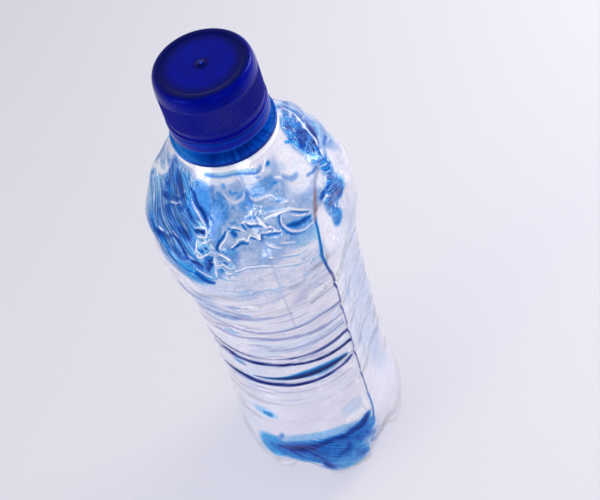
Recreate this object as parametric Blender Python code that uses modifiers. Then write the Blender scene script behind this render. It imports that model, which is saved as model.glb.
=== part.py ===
"""A squeezed drinks bottle with its screw cap on, standing on its five feet.

Metres, +Z up. The bottle's axis is Z, and the ground is z = 0.
"""

import math

import bmesh
import bpy

MM = 0.001

# The whole bottle
TOTAL_HEIGHT = 198.2 * MM
COLUMNS = 40  # facets round a turned piece, eight to each foot
FRONT_FOOT = math.radians(-86)  # azimuth of one foot's middle, and of the first column
FIT_GAP = 0.3 * MM  # left between pieces that touch

# Base: a dome whose five feet are pushed down to the ground
FOOT_COUNT = 5
BASE_RADIUS = 31.0 * MM
BASE_HEIGHT = 23.0 * MM
DOME_CLEARANCE = 5.4 * MM  # middle of the base above the ground
PAD_INNER, PAD_OUTER = 14.0 * MM, 21.2 * MM
PAD_START, PAD_END = math.radians(25), math.radians(42)  # angles down the dome that the pad takes
FOOT_FLAT = 0.7  # share of a foot's width that rises to its middle
VALLEY_DEPTH = 1.4 * MM  # how far the valleys between the feet still dip above the base
VALLEY_BOTTOM, VALLEY_TOP = 14.0 * MM, 40.0 * MM
VALLEY_FADE_IN, VALLEY_FADE_OUT = 10.0 * MM, 14.0 * MM

# Wall: (height, radius) where the outline turns
WALL_STATIONS = [
    (BASE_HEIGHT, BASE_RADIUS),
    (36.0 * MM, 30.1 * MM),
    (52.0 * MM, 29.0 * MM),
    (84.0 * MM, 29.3 * MM),
    (108.0 * MM, 29.9 * MM),
    (120.0 * MM, 31.9 * MM),
    (132.0 * MM, 33.7 * MM),
    (144.0 * MM, 32.5 * MM),
    (156.0 * MM, 26.3 * MM),
    (165.0 * MM, 19.6 * MM),
    (171.0 * MM, 15.2 * MM),
]
SHOULDER_ROWS = 11
WALL = 0.5 * MM
BASE_WALL = 0.9 * MM
SHOULDER_WALL = 0.8 * MM
BASE_THINS = 12.0 * MM, 32.0 * MM  # heights between which the base's wall thins
SHOULDER_THICKENS = 130.0 * MM, 160.0 * MM

# Grooves round the wall; the two lowest were pressed nearly flat
FIRST_RIB = 45.7 * MM
RIB_PITCH = 13.6 * MM
RIB_HALF_WIDTH = 2.6 * MM
RIB_DEPTHS = [0.3 * MM, 0.6 * MM, 1.0 * MM, 1.0 * MM, 1.0 * MM, 1.0 * MM]
RIBS_IN_PANEL = 0.5  # how much of their depth is left in the squeezed panel

# The squeeze: a panel pushed in beside a long crease
CREASE_AZIMUTH = math.radians(-58)
PANEL_SPAN = math.radians(54)
PANEL_DEPTH = 3.0 * MM
PANEL_DROP = 2.4  # how many times faster than evenly it drops off the crease
PANEL_BOTTOM, PANEL_TOP = 26.0 * MM, 160.0 * MM
PANEL_FADE_IN, PANEL_FADE_OUT = 22.0 * MM, 26.0 * MM  # heights over which it starts and ends
CREASE_RISE = 0.35 * MM
CREASE_HALF_WIDTH = math.radians(5)
CREASE_FADE = 12.0 * MM
CREASE_LEAN, LEAN_FROM, LEAN_OVER = math.radians(-6), 115.0 * MM, 20.0 * MM
CREASE_SWEEP, SWEEP_FROM, SWEEP_OVER = math.radians(40), 145.0 * MM, 12.0 * MM
DENTS = [  # azimuth, height, half width, half height, depth
    (math.radians(-72), 107 * MM, 7.5 * MM, 7.0 * MM, 0.9 * MM),
    (math.radians(-118), 99 * MM, 8.0 * MM, 4.0 * MM, 0.6 * MM),
    (math.radians(62), 96 * MM, 17.0 * MM, 15.0 * MM, 2.6 * MM),
    (math.radians(148), 66 * MM, 13.0 * MM, 12.0 * MM, 1.7 * MM),
]
WRINKLE_BOTTOM, WRINKLE_TOP = 112.0 * MM, 169.0 * MM
WRINKLE_FADE = 14.0 * MM
WRINKLES = [  # height, waves round the bottle, waves per metre of height, start
    (0.50 * MM, 5, 34.0, 0.4),
    (0.40 * MM, 8, -58.0, 1.3),
    (0.30 * MM, 11, 92.0, 2.2),
]

# Neck finish
RING_BOTTOM = 171.4 * MM
RING_THICKNESS = 2.0 * MM
RING_RADIUS = 16.5 * MM
NECK_RADIUS = 13.1 * MM
THREAD_WALL = 12.5 * MM
BORE_RADIUS = 10.85 * MM
BEAD_HEIGHT = 178.4 * MM
BEAD_RADIUS = 14.0 * MM
LIP_TOP = 195.2 * MM

# Thread, cut alike on the neck and in the cap
THREAD_PITCH = 3.18 * MM
THREAD_START = 186.4 * MM
THREAD_TURNS = 1.6
NECK_THREAD = 0.9 * MM  # radius of the round ridge
CAP_THREAD = 0.85 * MM
THREAD_STEPS = 32  # points to a turn

# Cap
CAP_BOTTOM = 180.5 * MM
CAP_INNER = 14.1 * MM
CAP_CEILING = 196.6 * MM
CAP_TOP = TOTAL_HEIGHT - 0.2 * MM  # its gate mark stands above it
GATE_RADIUS = 0.8 * MM
KNURL_COUNT = 120
KNURL_BOTTOM, KNURL_TOP = 183.6 * MM, 193.6 * MM
KNURL_OUTER, KNURL_INNER = 15.5 * MM, 15.25 * MM

# Tamper band
BAND_BOTTOM = 176.6 * MM
BAND_TOP = CAP_BOTTOM - FIT_GAP
BAND_RADIUS = 15.6 * MM

# Liner
LINER_RADIUS = 13.3 * MM


def clear_scene():
    for thing in list(bpy.data.objects):
        bpy.data.objects.remove(thing, do_unlink=True)


def new_collection(name):
    collection = bpy.data.collections.new(name)
    bpy.context.scene.collection.children.link(collection)
    return collection


def new_material(name, color, roughness, transmission=0.0):
    material = bpy.data.materials.new(name)
    material.use_nodes = True
    shader = material.node_tree.nodes["Principled BSDF"]
    shader.inputs["Base Color"].default_value = (*color, 1.0)
    shader.inputs["Roughness"].default_value = roughness
    shader.inputs["Metallic"].default_value = 0.0
    shader.inputs["Transmission Weight"].default_value = transmission
    return material


def smooth(x):
    """0 below 0, 1 above 1, with an S-shaped rise between."""
    x = min(1.0, max(0.0, x))
    return x * x * (3.0 - 2.0 * x)


def rise(x, start, over):
    """0 below start and 1 once past it by over."""
    return smooth((x - start) / over)


def turn_from(azimuth, start):
    """The angle from start to azimuth, between minus and plus half a turn."""
    return (azimuth - start + math.pi) % (2.0 * math.pi) - math.pi


# ---- outlines


def wall_radius(z):
    """A smooth outline through the stations, flat where it turns back."""
    points = WALL_STATIONS
    if z <= points[0][0]:
        return points[0][1]
    if z >= points[-1][0]:
        return points[-1][1]
    slopes = []
    for i in range(len(points)):
        if i in (0, len(points) - 1):
            slopes.append(0.0 if i == 0 else steepness(points[i - 1], points[i]))
            continue
        before = steepness(points[i - 1], points[i])
        after = steepness(points[i], points[i + 1])
        turns = before * after <= 0.0
        slopes.append(0.0 if turns else 2.0 * before * after / (before + after))
    i = max(k for k in range(len(points) - 1) if points[k][0] <= z)
    (z0, r0), (z1, r1) = points[i], points[i + 1]
    span = z1 - z0
    t = (z - z0) / span
    return (
        r0 * (1 + 2 * t) * (1 - t) ** 2
        + r1 * t * t * (3 - 2 * t)
        + span * slopes[i] * t * (1 - t) ** 2
        - span * slopes[i + 1] * t * t * (1 - t)
    )


def steepness(a, b):
    return (b[1] - a[1]) / (b[0] - a[0])


def dome_point(angle):
    """The base before its feet: a quarter ellipse from the axis out to the wall."""
    radius = BASE_RADIUS * math.sin(angle)
    height = DOME_CLEARANCE + (BASE_HEIGHT - DOME_CLEARANCE) * (1.0 - math.cos(angle))
    return radius, height


def foot_point(angle):
    """A foot's section: down from the axis, along the pad, and round up to the wall."""
    if angle < PAD_START:
        share = angle / PAD_START
        return PAD_INNER * share, DOME_CLEARANCE * (1.0 + math.cos(math.pi * share)) / 2.0
    if angle < PAD_END:
        share = (angle - PAD_START) / (PAD_END - PAD_START)
        return PAD_INNER + (PAD_OUTER - PAD_INNER) * share, 0.0
    turn = (angle - PAD_END) / (math.pi / 2 - PAD_END) * math.pi / 2
    radius = PAD_OUTER + (BASE_RADIUS - PAD_OUTER) * math.sin(turn)
    return radius, BASE_HEIGHT * (1.0 - math.cos(turn))


def base_outline():
    """Dome points from the axis to just below the wall, closest where the feet turn."""
    inner = [PAD_START * k / 3 for k in range(4)]
    pad = [PAD_START + (PAD_END - PAD_START) * k / 2 for k in (1, 2)]
    outer = [PAD_END + (math.pi / 2 - PAD_END) * k / 6 for k in range(1, 6)]
    return [dome_point(angle) for angle in inner + pad + outer]


def wall_heights():
    """Rows up the wall: three to a groove, then closer over the shoulder."""
    below = [BASE_HEIGHT, 30.0 * MM, 37.0 * MM]
    grooves = []
    for k in range(len(RIB_DEPTHS)):
        middle = FIRST_RIB + k * RIB_PITCH
        grooves += [middle - RIB_HALF_WIDTH, middle, middle + RIB_HALF_WIDTH]
    first = grooves[-1] + 4.0 * MM
    rise_each = (RING_BOTTOM - 1.6 * MM - first) / (SHOULDER_ROWS - 1)
    shoulder = [first + rise_each * k for k in range(SHOULDER_ROWS)]
    return below + grooves + shoulder


def wall_outline():
    return [(wall_radius(z), z) for z in wall_heights()]


def thickness_at(z):
    low, high = BASE_THINS
    base = BASE_WALL + (WALL - BASE_WALL) * rise(z, low, high - low)
    low, high = SHOULDER_THICKENS
    return base + (SHOULDER_WALL - WALL) * rise(z, low, high - low)


def inset(outline):
    """The outline moved in by the wall's thickness, square to itself."""
    moved = []
    for i, (radius, z) in enumerate(outline):
        before, after = outline[max(i - 1, 0)], outline[min(i + 1, len(outline) - 1)]
        along_r, along_z = after[0] - before[0], after[1] - before[1]
        length = math.hypot(along_r, along_z)
        wall = thickness_at(z)
        if radius == 0.0:
            moved.append((0.0, z + wall))
        else:
            moved.append((radius - wall * along_z / length, z + wall * along_r / length))
    return moved


def neck_outline():
    """Outside of the finish from the support ring up to the lip."""
    ring_top = RING_BOTTOM + RING_THICKNESS
    chamfer = 0.4 * MM
    return [
        (RING_RADIUS - 1.2 * MM, RING_BOTTOM),
        (RING_RADIUS - chamfer, RING_BOTTOM),
        (RING_RADIUS, RING_BOTTOM + chamfer),
        (RING_RADIUS, ring_top - chamfer),
        (RING_RADIUS - chamfer, ring_top),
        (NECK_RADIUS, ring_top + chamfer),
        (NECK_RADIUS, BEAD_HEIGHT - 0.4 * MM),
        (BEAD_RADIUS, BEAD_HEIGHT),
        (THREAD_WALL, BEAD_HEIGHT + 1.4 * MM),
        (THREAD_WALL, LIP_TOP - chamfer),
        (THREAD_WALL - chamfer, LIP_TOP),
    ]


def bore_outline():
    """Inside of the finish from the lip down to where the blown wall begins."""
    return [
        (BORE_RADIUS + 0.3 * MM, LIP_TOP),
        (BORE_RADIUS, LIP_TOP - 0.5 * MM),
        (BORE_RADIUS, RING_BOTTOM + 4.0 * MM),
        (BORE_RADIUS + 0.8 * MM, RING_BOTTOM + 0.6 * MM),
    ]


# ---- the squeeze


def foot_share(azimuth):
    """1 on a foot, 0 in the valley between two."""
    wave = 0.5 + 0.5 * math.cos(FOOT_COUNT * turn_from(azimuth, FRONT_FOOT))
    return smooth(wave / FOOT_FLAT)


def crease_azimuth(z):
    """Straight up the wall, then over the shoulder towards the back of the panel."""
    lean = CREASE_LEAN * rise(z, LEAN_FROM, LEAN_OVER)
    sweep = CREASE_SWEEP * rise(z, SWEEP_FROM, SWEEP_OVER)
    return CREASE_AZIMUTH + lean + sweep


def panel_share(azimuth, z):
    """0 outside the squeezed panel, and 1 at its deepest. It starts sharply at the crease."""
    share = turn_from(azimuth, crease_azimuth(z)) / PANEL_SPAN
    if share <= 0.0 or share >= 1.0:
        return 0.0
    across = min(1.0, PANEL_DROP * share) if share < 0.5 else smooth(2.0 - 2.0 * share)
    up = rise(z, PANEL_BOTTOM, PANEL_FADE_IN) * rise(-z, -PANEL_TOP, PANEL_FADE_OUT)
    return across * up


def crease_share(azimuth, z):
    off = abs(turn_from(azimuth, crease_azimuth(z))) / CREASE_HALF_WIDTH
    up = rise(z, PANEL_BOTTOM, CREASE_FADE) * rise(-z, -PANEL_TOP, CREASE_FADE)
    return max(0.0, 1.0 - off) * up


def rib_depth(azimuth, z):
    depth = 0.0
    for k, deepest in enumerate(RIB_DEPTHS):
        off = abs(z - (FIRST_RIB + k * RIB_PITCH)) / RIB_HALF_WIDTH
        depth = max(depth, deepest * (1.0 - smooth(off)))
    return depth * (1.0 - (1.0 - RIBS_IN_PANEL) * panel_share(azimuth, z))


def dent_depth(azimuth, z):
    depth = 0.0
    for at, height, half_width, half_height, deepest in DENTS:
        across = turn_from(azimuth, at) * wall_radius(height) / half_width
        off = math.hypot(across, (z - height) / half_height)
        depth += deepest * (1.0 - smooth(off))
    return depth


def wrinkle_depth(azimuth, z):
    window = rise(z, WRINKLE_BOTTOM, WRINKLE_FADE) * rise(-z, -WRINKLE_TOP, WRINKLE_FADE)
    waves = 0.0
    for height, around, up, start in WRINKLES:
        waves += height * math.sin(around * azimuth + 2 * math.pi * up * z + start)
    return window * waves


def valley_depth(azimuth, z):
    up = rise(z, VALLEY_BOTTOM, VALLEY_FADE_IN) * rise(-z, -VALLEY_TOP, VALLEY_FADE_OUT)
    return VALLEY_DEPTH * (1.0 - foot_share(azimuth)) * up


def squeezed(radius, azimuth, z):
    """Where a point of the round bottle ends up: its new radius and height."""
    if z < BASE_HEIGHT + BASE_WALL and radius < BASE_RADIUS - 0.01 * MM:
        angle = math.atan2(
            radius / BASE_RADIUS, (BASE_HEIGHT - z) / (BASE_HEIGHT - DOME_CLEARANCE)
        )
        angle = min(angle, math.pi / 2)
        dome, foot = dome_point(angle), foot_point(angle)
        share = foot_share(azimuth)
        radius += share * (foot[0] - dome[0])
        z += share * (foot[1] - dome[1])
    inward = (
        PANEL_DEPTH * panel_share(azimuth, z)
        - CREASE_RISE * crease_share(azimuth, z)
        + rib_depth(azimuth, z)
        + dent_depth(azimuth, z)
        + wrinkle_depth(azimuth, z)
        + valley_depth(azimuth, z)
    )
    return radius - inward, z


# ---- making meshes


def in_collection(name, mesh, material, collection):
    thing = bpy.data.objects.new(name, mesh)
    mesh.materials.clear()
    mesh.materials.append(material)
    mesh.shade_smooth()
    mesh.set_sharp_from_angle(angle=math.radians(35))
    collection.objects.link(thing)
    return thing


def applied(thing):
    """The object's evaluated mesh, with the object itself taken away."""
    bpy.context.view_layer.update()
    evaluated = thing.evaluated_get(bpy.context.evaluated_depsgraph_get())
    mesh = bpy.data.meshes.new_from_object(evaluated)
    mesh.transform(thing.matrix_world)
    bpy.data.objects.remove(thing, do_unlink=True)
    return mesh


def turned(outline, columns=COLUMNS):
    """A mesh turned about Z from an outline that runs down its outer side."""
    mesh = bpy.data.meshes.new("outline")
    points = [(radius, 0.0, z) for radius, z in outline]
    mesh.from_pydata(points, [(i, i + 1) for i in range(len(points) - 1)], [])
    thing = bpy.data.objects.new("outline", mesh)
    thing.rotation_euler = (0.0, 0.0, FRONT_FOOT)
    bpy.context.scene.collection.objects.link(thing)
    screw = thing.modifiers.new("turn", "SCREW")
    screw.steps = screw.render_steps = columns
    screw.use_merge_vertices = True
    screw.merge_threshold = 0.00001
    screw.use_normal_calculate = False
    return applied(thing)


def thread_ridge(radius, ridge, start, turns):
    """A round ridge along a right-hand helix, tapered at both ends."""
    curve = bpy.data.curves.new("ridge", "CURVE")
    curve.dimensions = "3D"
    curve.bevel_depth = ridge
    curve.bevel_resolution = 2
    curve.use_fill_caps = True
    spline = curve.splines.new("POLY")
    count = round(turns * THREAD_STEPS) + 1
    spline.points.add(count - 1)
    for i, point in enumerate(spline.points):
        angle = 2.0 * math.pi * i / THREAD_STEPS
        height = start + THREAD_PITCH * i / THREAD_STEPS
        point.co = (radius * math.cos(angle), radius * math.sin(angle), height, 1.0)
        point.radius = 0.35 + 0.65 * min(1.0, i / 4, (count - 1 - i) / 4)
    thing = bpy.data.objects.new("ridge", curve)
    bpy.context.scene.collection.objects.link(thing)
    mesh = applied(thing)
    welded = bmesh.new()
    welded.from_mesh(mesh)
    bmesh.ops.remove_doubles(welded, verts=welded.verts, dist=0.00001)
    bmesh.ops.recalc_face_normals(welded, faces=welded.faces)
    welded.to_mesh(mesh)
    welded.free()
    return mesh


def joined(name, mesh, added, material, parts, cutters):
    """The mesh with others joined to it by Boolean unions."""
    thing = in_collection(name, mesh, material, parts)
    for i, other in enumerate(added):
        helper = in_collection(f"{name}_join_{i}", other, material, cutters)
        helper.hide_render = True
        helper.display_type = "WIRE"
        union = thing.modifiers.new(f"join_{i}", "BOOLEAN")
        union.operation = "UNION"
        union.object = helper
    return thing


# ---- the pieces


def make_bottle(material, parts, cutters):
    outside = base_outline() + wall_outline()
    inside = inset(outside)
    outline = inside + bore_outline()[::-1] + neck_outline()[::-1] + outside[::-1]
    mesh = turned(outline)
    for vertex in mesh.vertices:
        x, y, z = vertex.co
        azimuth = math.atan2(y, x)
        radius, height = squeezed(math.hypot(x, y), azimuth, z)
        vertex.co = (radius * math.cos(azimuth), radius * math.sin(azimuth), height)
    ridge = thread_ridge(THREAD_WALL + 0.1 * MM, NECK_THREAD, THREAD_START, THREAD_TURNS)
    return joined("bottle", mesh, [ridge], material, parts, cutters)


def knurled_ring():
    """A ring that is buried in the skirt, with its outer side drawn into a knurl."""
    buried = CAP_INNER + 0.4 * MM
    outline = [
        (KNURL_OUTER, KNURL_TOP),
        (KNURL_OUTER, KNURL_BOTTOM),
        (buried, KNURL_BOTTOM),
        (buried, KNURL_TOP),
        (KNURL_OUTER, KNURL_TOP),
    ]
    mesh = turned(outline, 2 * KNURL_COUNT)
    step = math.pi / KNURL_COUNT
    for vertex in mesh.vertices:
        x, y, _ = vertex.co
        groove = round(turn_from(math.atan2(y, x), FRONT_FOOT) / step) % 2
        if groove and math.hypot(x, y) > buried + 0.1 * MM:
            vertex.co.x *= KNURL_INNER / KNURL_OUTER
            vertex.co.y *= KNURL_INNER / KNURL_OUTER
    return mesh


def make_cap(material, parts, cutters):
    skirt = KNURL_INNER - 0.3 * MM  # the knurls stand on this
    outline = [
        (0.0, CAP_CEILING),
        (CAP_INNER - 0.5 * MM, CAP_CEILING),
        (CAP_INNER, CAP_CEILING - 0.5 * MM),
        (CAP_INNER, CAP_BOTTOM + 0.4 * MM),
        (CAP_INNER + 0.3 * MM, CAP_BOTTOM),
        (BAND_RADIUS - 0.2 * MM, CAP_BOTTOM),
        (BAND_RADIUS + 0.1 * MM, CAP_BOTTOM + 0.5 * MM),
        (BAND_RADIUS + 0.1 * MM, CAP_BOTTOM + 1.1 * MM),
        (BAND_RADIUS - 0.3 * MM, CAP_BOTTOM + 1.7 * MM),
        (BAND_RADIUS - 0.3 * MM, KNURL_BOTTOM - 0.5 * MM),
        (skirt, KNURL_BOTTOM + 0.3 * MM),
        (skirt, KNURL_TOP - 0.4 * MM),
        (KNURL_OUTER - 0.1 * MM, KNURL_TOP + 0.1 * MM),
        (KNURL_OUTER - 0.4 * MM, CAP_TOP - 1.5 * MM),
        (14.4 * MM, CAP_TOP - 0.5 * MM),
        (13.6 * MM, CAP_TOP - 0.1 * MM),
        (12.2 * MM, CAP_TOP - 0.1 * MM),
        (11.6 * MM, CAP_TOP),
        (GATE_RADIUS + 0.2 * MM, CAP_TOP),
        (GATE_RADIUS, TOTAL_HEIGHT),
        (0.0, TOTAL_HEIGHT),
    ]
    mesh = turned(outline[::-1])
    wall = CAP_INNER + 0.05 * MM
    start = THREAD_START - THREAD_PITCH / 2
    ridge = thread_ridge(wall, CAP_THREAD, start, THREAD_TURNS)
    return joined("screw_cap", mesh, [knurled_ring(), ridge], material, parts, cutters)


def make_band(material, parts):
    neck_side = BEAD_RADIUS + 0.4 * MM
    flap = NECK_RADIUS + 0.35 * MM
    flap_top = BEAD_HEIGHT - 0.4 * MM - FIT_GAP
    outline = [
        (BAND_RADIUS - 0.3 * MM, BAND_TOP),
        (BAND_RADIUS, BAND_TOP - 0.3 * MM),
        (BAND_RADIUS, BAND_BOTTOM + 0.3 * MM),
        (BAND_RADIUS - 0.3 * MM, BAND_BOTTOM),
        (neck_side, BAND_BOTTOM),
        (flap, flap_top - 0.7 * MM),
        (flap, flap_top),
        (neck_side, flap_top),
        (neck_side, BAND_TOP),
        (BAND_RADIUS - 0.3 * MM, BAND_TOP),
    ]
    return in_collection("tamper_band", turned(outline), material, parts)


def make_liner(material, parts):
    bottom, top = LIP_TOP + FIT_GAP, CAP_CEILING - FIT_GAP
    edge = 0.2 * MM
    outline = [
        (0.0, top),
        (LINER_RADIUS - edge, top),
        (LINER_RADIUS, top - edge),
        (LINER_RADIUS, bottom + edge),
        (LINER_RADIUS - edge, bottom),
        (0.0, bottom),
    ]
    return in_collection("seal_liner", turned(outline), material, parts)


def main():
    clear_scene()
    parts = new_collection("crushed_bottle")
    cutters = new_collection("cutters")
    clear_pet = new_material("clear_pet", (0.62, 0.78, 0.95), 0.06, transmission=0.9)
    cap_blue = new_material("cap_blue", (0.004, 0.012, 0.30), 0.28)
    band_blue = new_material("band_blue", (0.004, 0.014, 0.33), 0.28)
    liner_white = new_material("liner_white", (0.80, 0.82, 0.84), 0.5)
    make_bottle(clear_pet, parts, cutters)
    make_cap(cap_blue, parts, cutters)
    make_band(band_blue, parts)
    make_liner(liner_white, parts)


main()
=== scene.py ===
import math
import random

import bpy
import numpy as np
from mathutils import Matrix, Vector, noise


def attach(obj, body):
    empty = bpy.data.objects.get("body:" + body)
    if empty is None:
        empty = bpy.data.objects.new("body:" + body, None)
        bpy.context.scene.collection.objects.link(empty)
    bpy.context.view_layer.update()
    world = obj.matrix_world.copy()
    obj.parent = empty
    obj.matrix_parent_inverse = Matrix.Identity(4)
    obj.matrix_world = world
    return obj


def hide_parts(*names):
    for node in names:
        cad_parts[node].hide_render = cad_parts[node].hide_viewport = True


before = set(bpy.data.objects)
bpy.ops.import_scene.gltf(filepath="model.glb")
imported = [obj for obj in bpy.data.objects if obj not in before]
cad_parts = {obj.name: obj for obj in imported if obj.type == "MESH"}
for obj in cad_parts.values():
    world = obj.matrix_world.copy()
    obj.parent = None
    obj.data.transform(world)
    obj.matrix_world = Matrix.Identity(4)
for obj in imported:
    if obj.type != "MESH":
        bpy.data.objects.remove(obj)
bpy.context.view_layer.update()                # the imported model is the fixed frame
mm = 0.001
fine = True
noise.seed_set(7)                # every run folds the wall alike


def selectNothing():
    if bpy.context.object and bpy.context.object.mode != "OBJECT":
        bpy.ops.object.mode_set(mode="OBJECT")
    bpy.ops.object.select_all(action="DESELECT")


def pick(piece):
    selectNothing()
    piece.select_set(True)
    bpy.context.view_layer.objects.active = piece


def smoothStep(x):
    x = np.clip(x, 0.0, 1.0)
    return x * x * (3.0 - 2.0 * x)


def turnFrom(azimuth, start):
    return (azimuth - start + math.pi) % (2.0 * math.pi) - math.pi


def spread(low, high, count):
    return [low + (high - low) * k / (count - 1) for k in range(count)]


def drawOutline(name, points):
    # one vertex, extruded from point to point
    selectNothing()
    bpy.ops.mesh.primitive_plane_add(size=1 * mm, location=(points[0][0], 0, points[0][1]))
    piece = bpy.context.object
    piece.name = piece.data.name = name
    bpy.ops.object.transform_apply(location=True, rotation=False, scale=False)
    bpy.ops.object.mode_set(mode="EDIT")
    bpy.ops.mesh.select_all(action="SELECT")
    bpy.ops.mesh.merge(type="CENTER")
    here = points[0]
    for point in points[1:]:
        step = (point[0] - here[0], 0.0, point[1] - here[1])
        bpy.ops.mesh.extrude_region_move(TRANSFORM_OT_translate={"value": step})
        here = point
    bpy.ops.object.mode_set(mode="OBJECT")
    return piece


def spinOutline(piece, columns, start=0.0):
    pick(piece)
    bpy.ops.object.mode_set(mode="EDIT")
    bpy.ops.mesh.select_all(action="SELECT")
    bpy.ops.mesh.spin(steps=columns, angle=2 * math.pi, center=(0, 0, 0), axis=(0, 0, 1))
    bpy.ops.mesh.select_all(action="SELECT")
    bpy.ops.mesh.remove_doubles(threshold=0.002 * mm)
    bpy.ops.mesh.normals_make_consistent(inside=False)
    bpy.ops.object.mode_set(mode="OBJECT")
    if start:
        piece.data.transform(Matrix.Rotation(start, 4, "Z"))
    return piece


def readPoints(piece):
    flat = np.empty(len(piece.data.vertices) * 3)
    piece.data.vertices.foreach_get("co", flat)
    return flat.reshape(-1, 3)


def writePoints(piece, points):
    piece.data.vertices.foreach_set("co", points.ravel())
    piece.data.update()


def polar(points):
    return np.hypot(points[:, 0], points[:, 1]), np.arctan2(points[:, 1], points[:, 0])


def unpolar(radius, azimuth, height):
    return np.stack([radius * np.cos(azimuth), radius * np.sin(azimuth), height], axis=1)


def noteOnPoints(piece, name, values):
    attribute = piece.data.attributes.new(name, "FLOAT", "POINT")
    attribute.data.foreach_set("value", np.asarray(values, dtype=np.float32))


def takeNote(piece, name):
    attribute = piece.data.attributes[name]
    values = np.empty(len(piece.data.vertices), dtype=np.float32)
    attribute.data.foreach_get("value", values)
    piece.data.attributes.remove(attribute)
    return values


def shadeSmooth(piece, angle):
    pick(piece)
    bpy.ops.object.shade_smooth_by_angle(angle=math.radians(angle))


# the sizes of the solid model; lists of places are in degrees and mm
bottle = {
    "columns": 218 if fine else 120,
    "denserAt": math.radians(-95), "denser": 0.6,      # columns crowd towards the front
    # from this height up, a row each so many mm
    "rowSteps": [(0, 1.1), (66, 0.55), (108, 0.6), (126, 0.5), (139, 0.42)],
    "rowScale": 1.0 if fine else 1.8, "domeRows": 32 if fine else 22, "neckRows": 40 if fine else 26,
    "wallBase": 0.9 * mm, "wallMiddle": 0.5 * mm, "wallShoulder": 0.8 * mm,
    "frontFoot": math.radians(-86), "feet": 5,
    "baseRadius": 31.0 * mm, "baseHeight": 23.0 * mm, "domeClearance": 5.4 * mm,
    "padInner": 14.0 * mm, "padOuter": 21.2 * mm,
    "padStart": math.radians(25), "padEnd": math.radians(42),
    "valleyDepth": 1.4 * mm, "valleyTop": 40.0 * mm,
    # height and radius of the wall before it was squeezed
    "stations": [(23.0, 31.0), (36.0, 30.1), (52.0, 29.0), (84.0, 29.3), (108.0, 29.9), (120.0, 31.9),
                 (132.0, 33.7), (144.0, 32.5), (156.0, 26.3), (165.0, 19.6), (171.0, 15.2)],
    "firstRib": 45.7 * mm, "ribPitch": 13.6 * mm, "ribHalfWidth": 2.6 * mm,
    "ribDepths": [0.3, 0.6, 1.0, 1.0, 1.0, 1.0],
    "creaseAzimuth": math.radians(-58), "creaseFold": 0.35 * mm, "creaseHalfWidth": math.radians(2.0),
    "creaseSwings": [(-6, 115, 20), (40, 145, 12)],    # by this angle, from this height, over so many mm
    "panelSpan": math.radians(54), "panelDepth": 3.0 * mm, "panelBottom": 26.0 * mm, "panelTop": 160.0 * mm,
    # how far the columns near the crease lean with it, by height
    "creaseLean": [(26, 0), (30, -2), (40, 0), (50, 0.7), (110, 1), (118, -1), (125, -4), (130, -5.4),
                   (134, -6.3), (139, -5), (144, -2.5), (147, 0)],
    "creaseReach": math.radians(26),
    # azimuth, height, half width, half height, depth
    "dents": [(-72, 107, 7.5, 7.0, 0.9), (-118, 99, 8.0, 4.0, 0.6), (62, 96, 17.0, 15.0, 2.6),
              (148, 66, 13.0, 12.0, 1.7)],
    "softLimit": 33.1 * mm, "softSpan": 0.55 * mm,
    "wrinkleBottom": 112.0 * mm, "wrinkleTop": 169.0 * mm,
    # height, waves around, waves up, start
    "wrinkles": [(0.50, 5, 34.0, 0.4), (0.40, 8, -58.0, 1.3), (0.30, 11, 92.0, 2.2)],
    "ringBottom": 171.4 * mm, "ringThickness": 2.0 * mm, "ringRadius": 16.5 * mm,
    "neckRadius": 13.1 * mm, "threadWall": 12.5 * mm, "boreRadius": 10.85 * mm,
    "beadHeight": 178.4 * mm, "beadRadius": 14.0 * mm, "lipTop": 195.2 * mm,
    "threadPitch": 3.18 * mm, "threadStart": 186.4 * mm, "threadTurns": 1.6, "threadRidge": 0.9 * mm,
}


def steepness(a, b):
    return (b[1] - a[1]) / (b[0] - a[0])


def wallRadius(z):
    # one smooth line through the stations
    stations = [(a * mm, b * mm) for a, b in bottle["stations"]]
    if z <= stations[0][0]:
        return stations[0][1]
    if z >= stations[-1][0]:
        return stations[-1][1]
    slopes = []
    for i in range(len(stations)):
        if i == 0:
            slopes.append(0.0)
        elif i == len(stations) - 1:
            slopes.append(steepness(stations[i - 1], stations[i]))
        else:
            before, after = steepness(stations[i - 1], stations[i]), steepness(stations[i], stations[i + 1])
            slopes.append(0.0 if before * after <= 0 else 2 * before * after / (before + after))
    i = max(k for k in range(len(stations) - 1) if stations[k][0] <= z)
    (z0, r0), (z1, r1) = stations[i], stations[i + 1]
    span, t = z1 - z0, (z - z0) / (z1 - z0)
    return (r0 * (1 + 2 * t) * (1 - t) ** 2 + r1 * t * t * (3 - 2 * t)
            + span * slopes[i] * t * (1 - t) ** 2 - span * slopes[i + 1] * t * t * (1 - t))


wallHeights = np.linspace(0.0, 172 * mm, 345)        # every half mm, to look a radius up
wallRadii = np.array([wallRadius(z) for z in wallHeights])


def roundWall(azimuth, z):
    # places on the wall before it was squeezed
    return unpolar(np.interp(z, wallHeights, wallRadii), azimuth, z)


def domePoint(angle):
    rise = bottle["baseHeight"] - bottle["domeClearance"]
    return bottle["baseRadius"] * np.sin(angle), bottle["domeClearance"] + rise * (1 - np.cos(angle))


def footPoint(angle):
    # a foot's section: down from the middle, along its pad and round up to the wall
    b = bottle
    share = np.clip(angle / b["padStart"], 0, 1)
    radius = b["padInner"] * share
    height = b["domeClearance"] * (1 + np.cos(math.pi * share)) / 2
    share = np.clip((angle - b["padStart"]) / (b["padEnd"] - b["padStart"]), 0, 1)
    radius = radius + (b["padOuter"] - b["padInner"]) * share
    turn = np.clip((angle - b["padEnd"]) / (math.pi / 2 - b["padEnd"]), 0, 1) * math.pi / 2
    return (radius + (b["baseRadius"] - b["padOuter"]) * np.sin(turn),
            height + b["baseHeight"] * (1 - np.cos(turn)))


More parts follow.
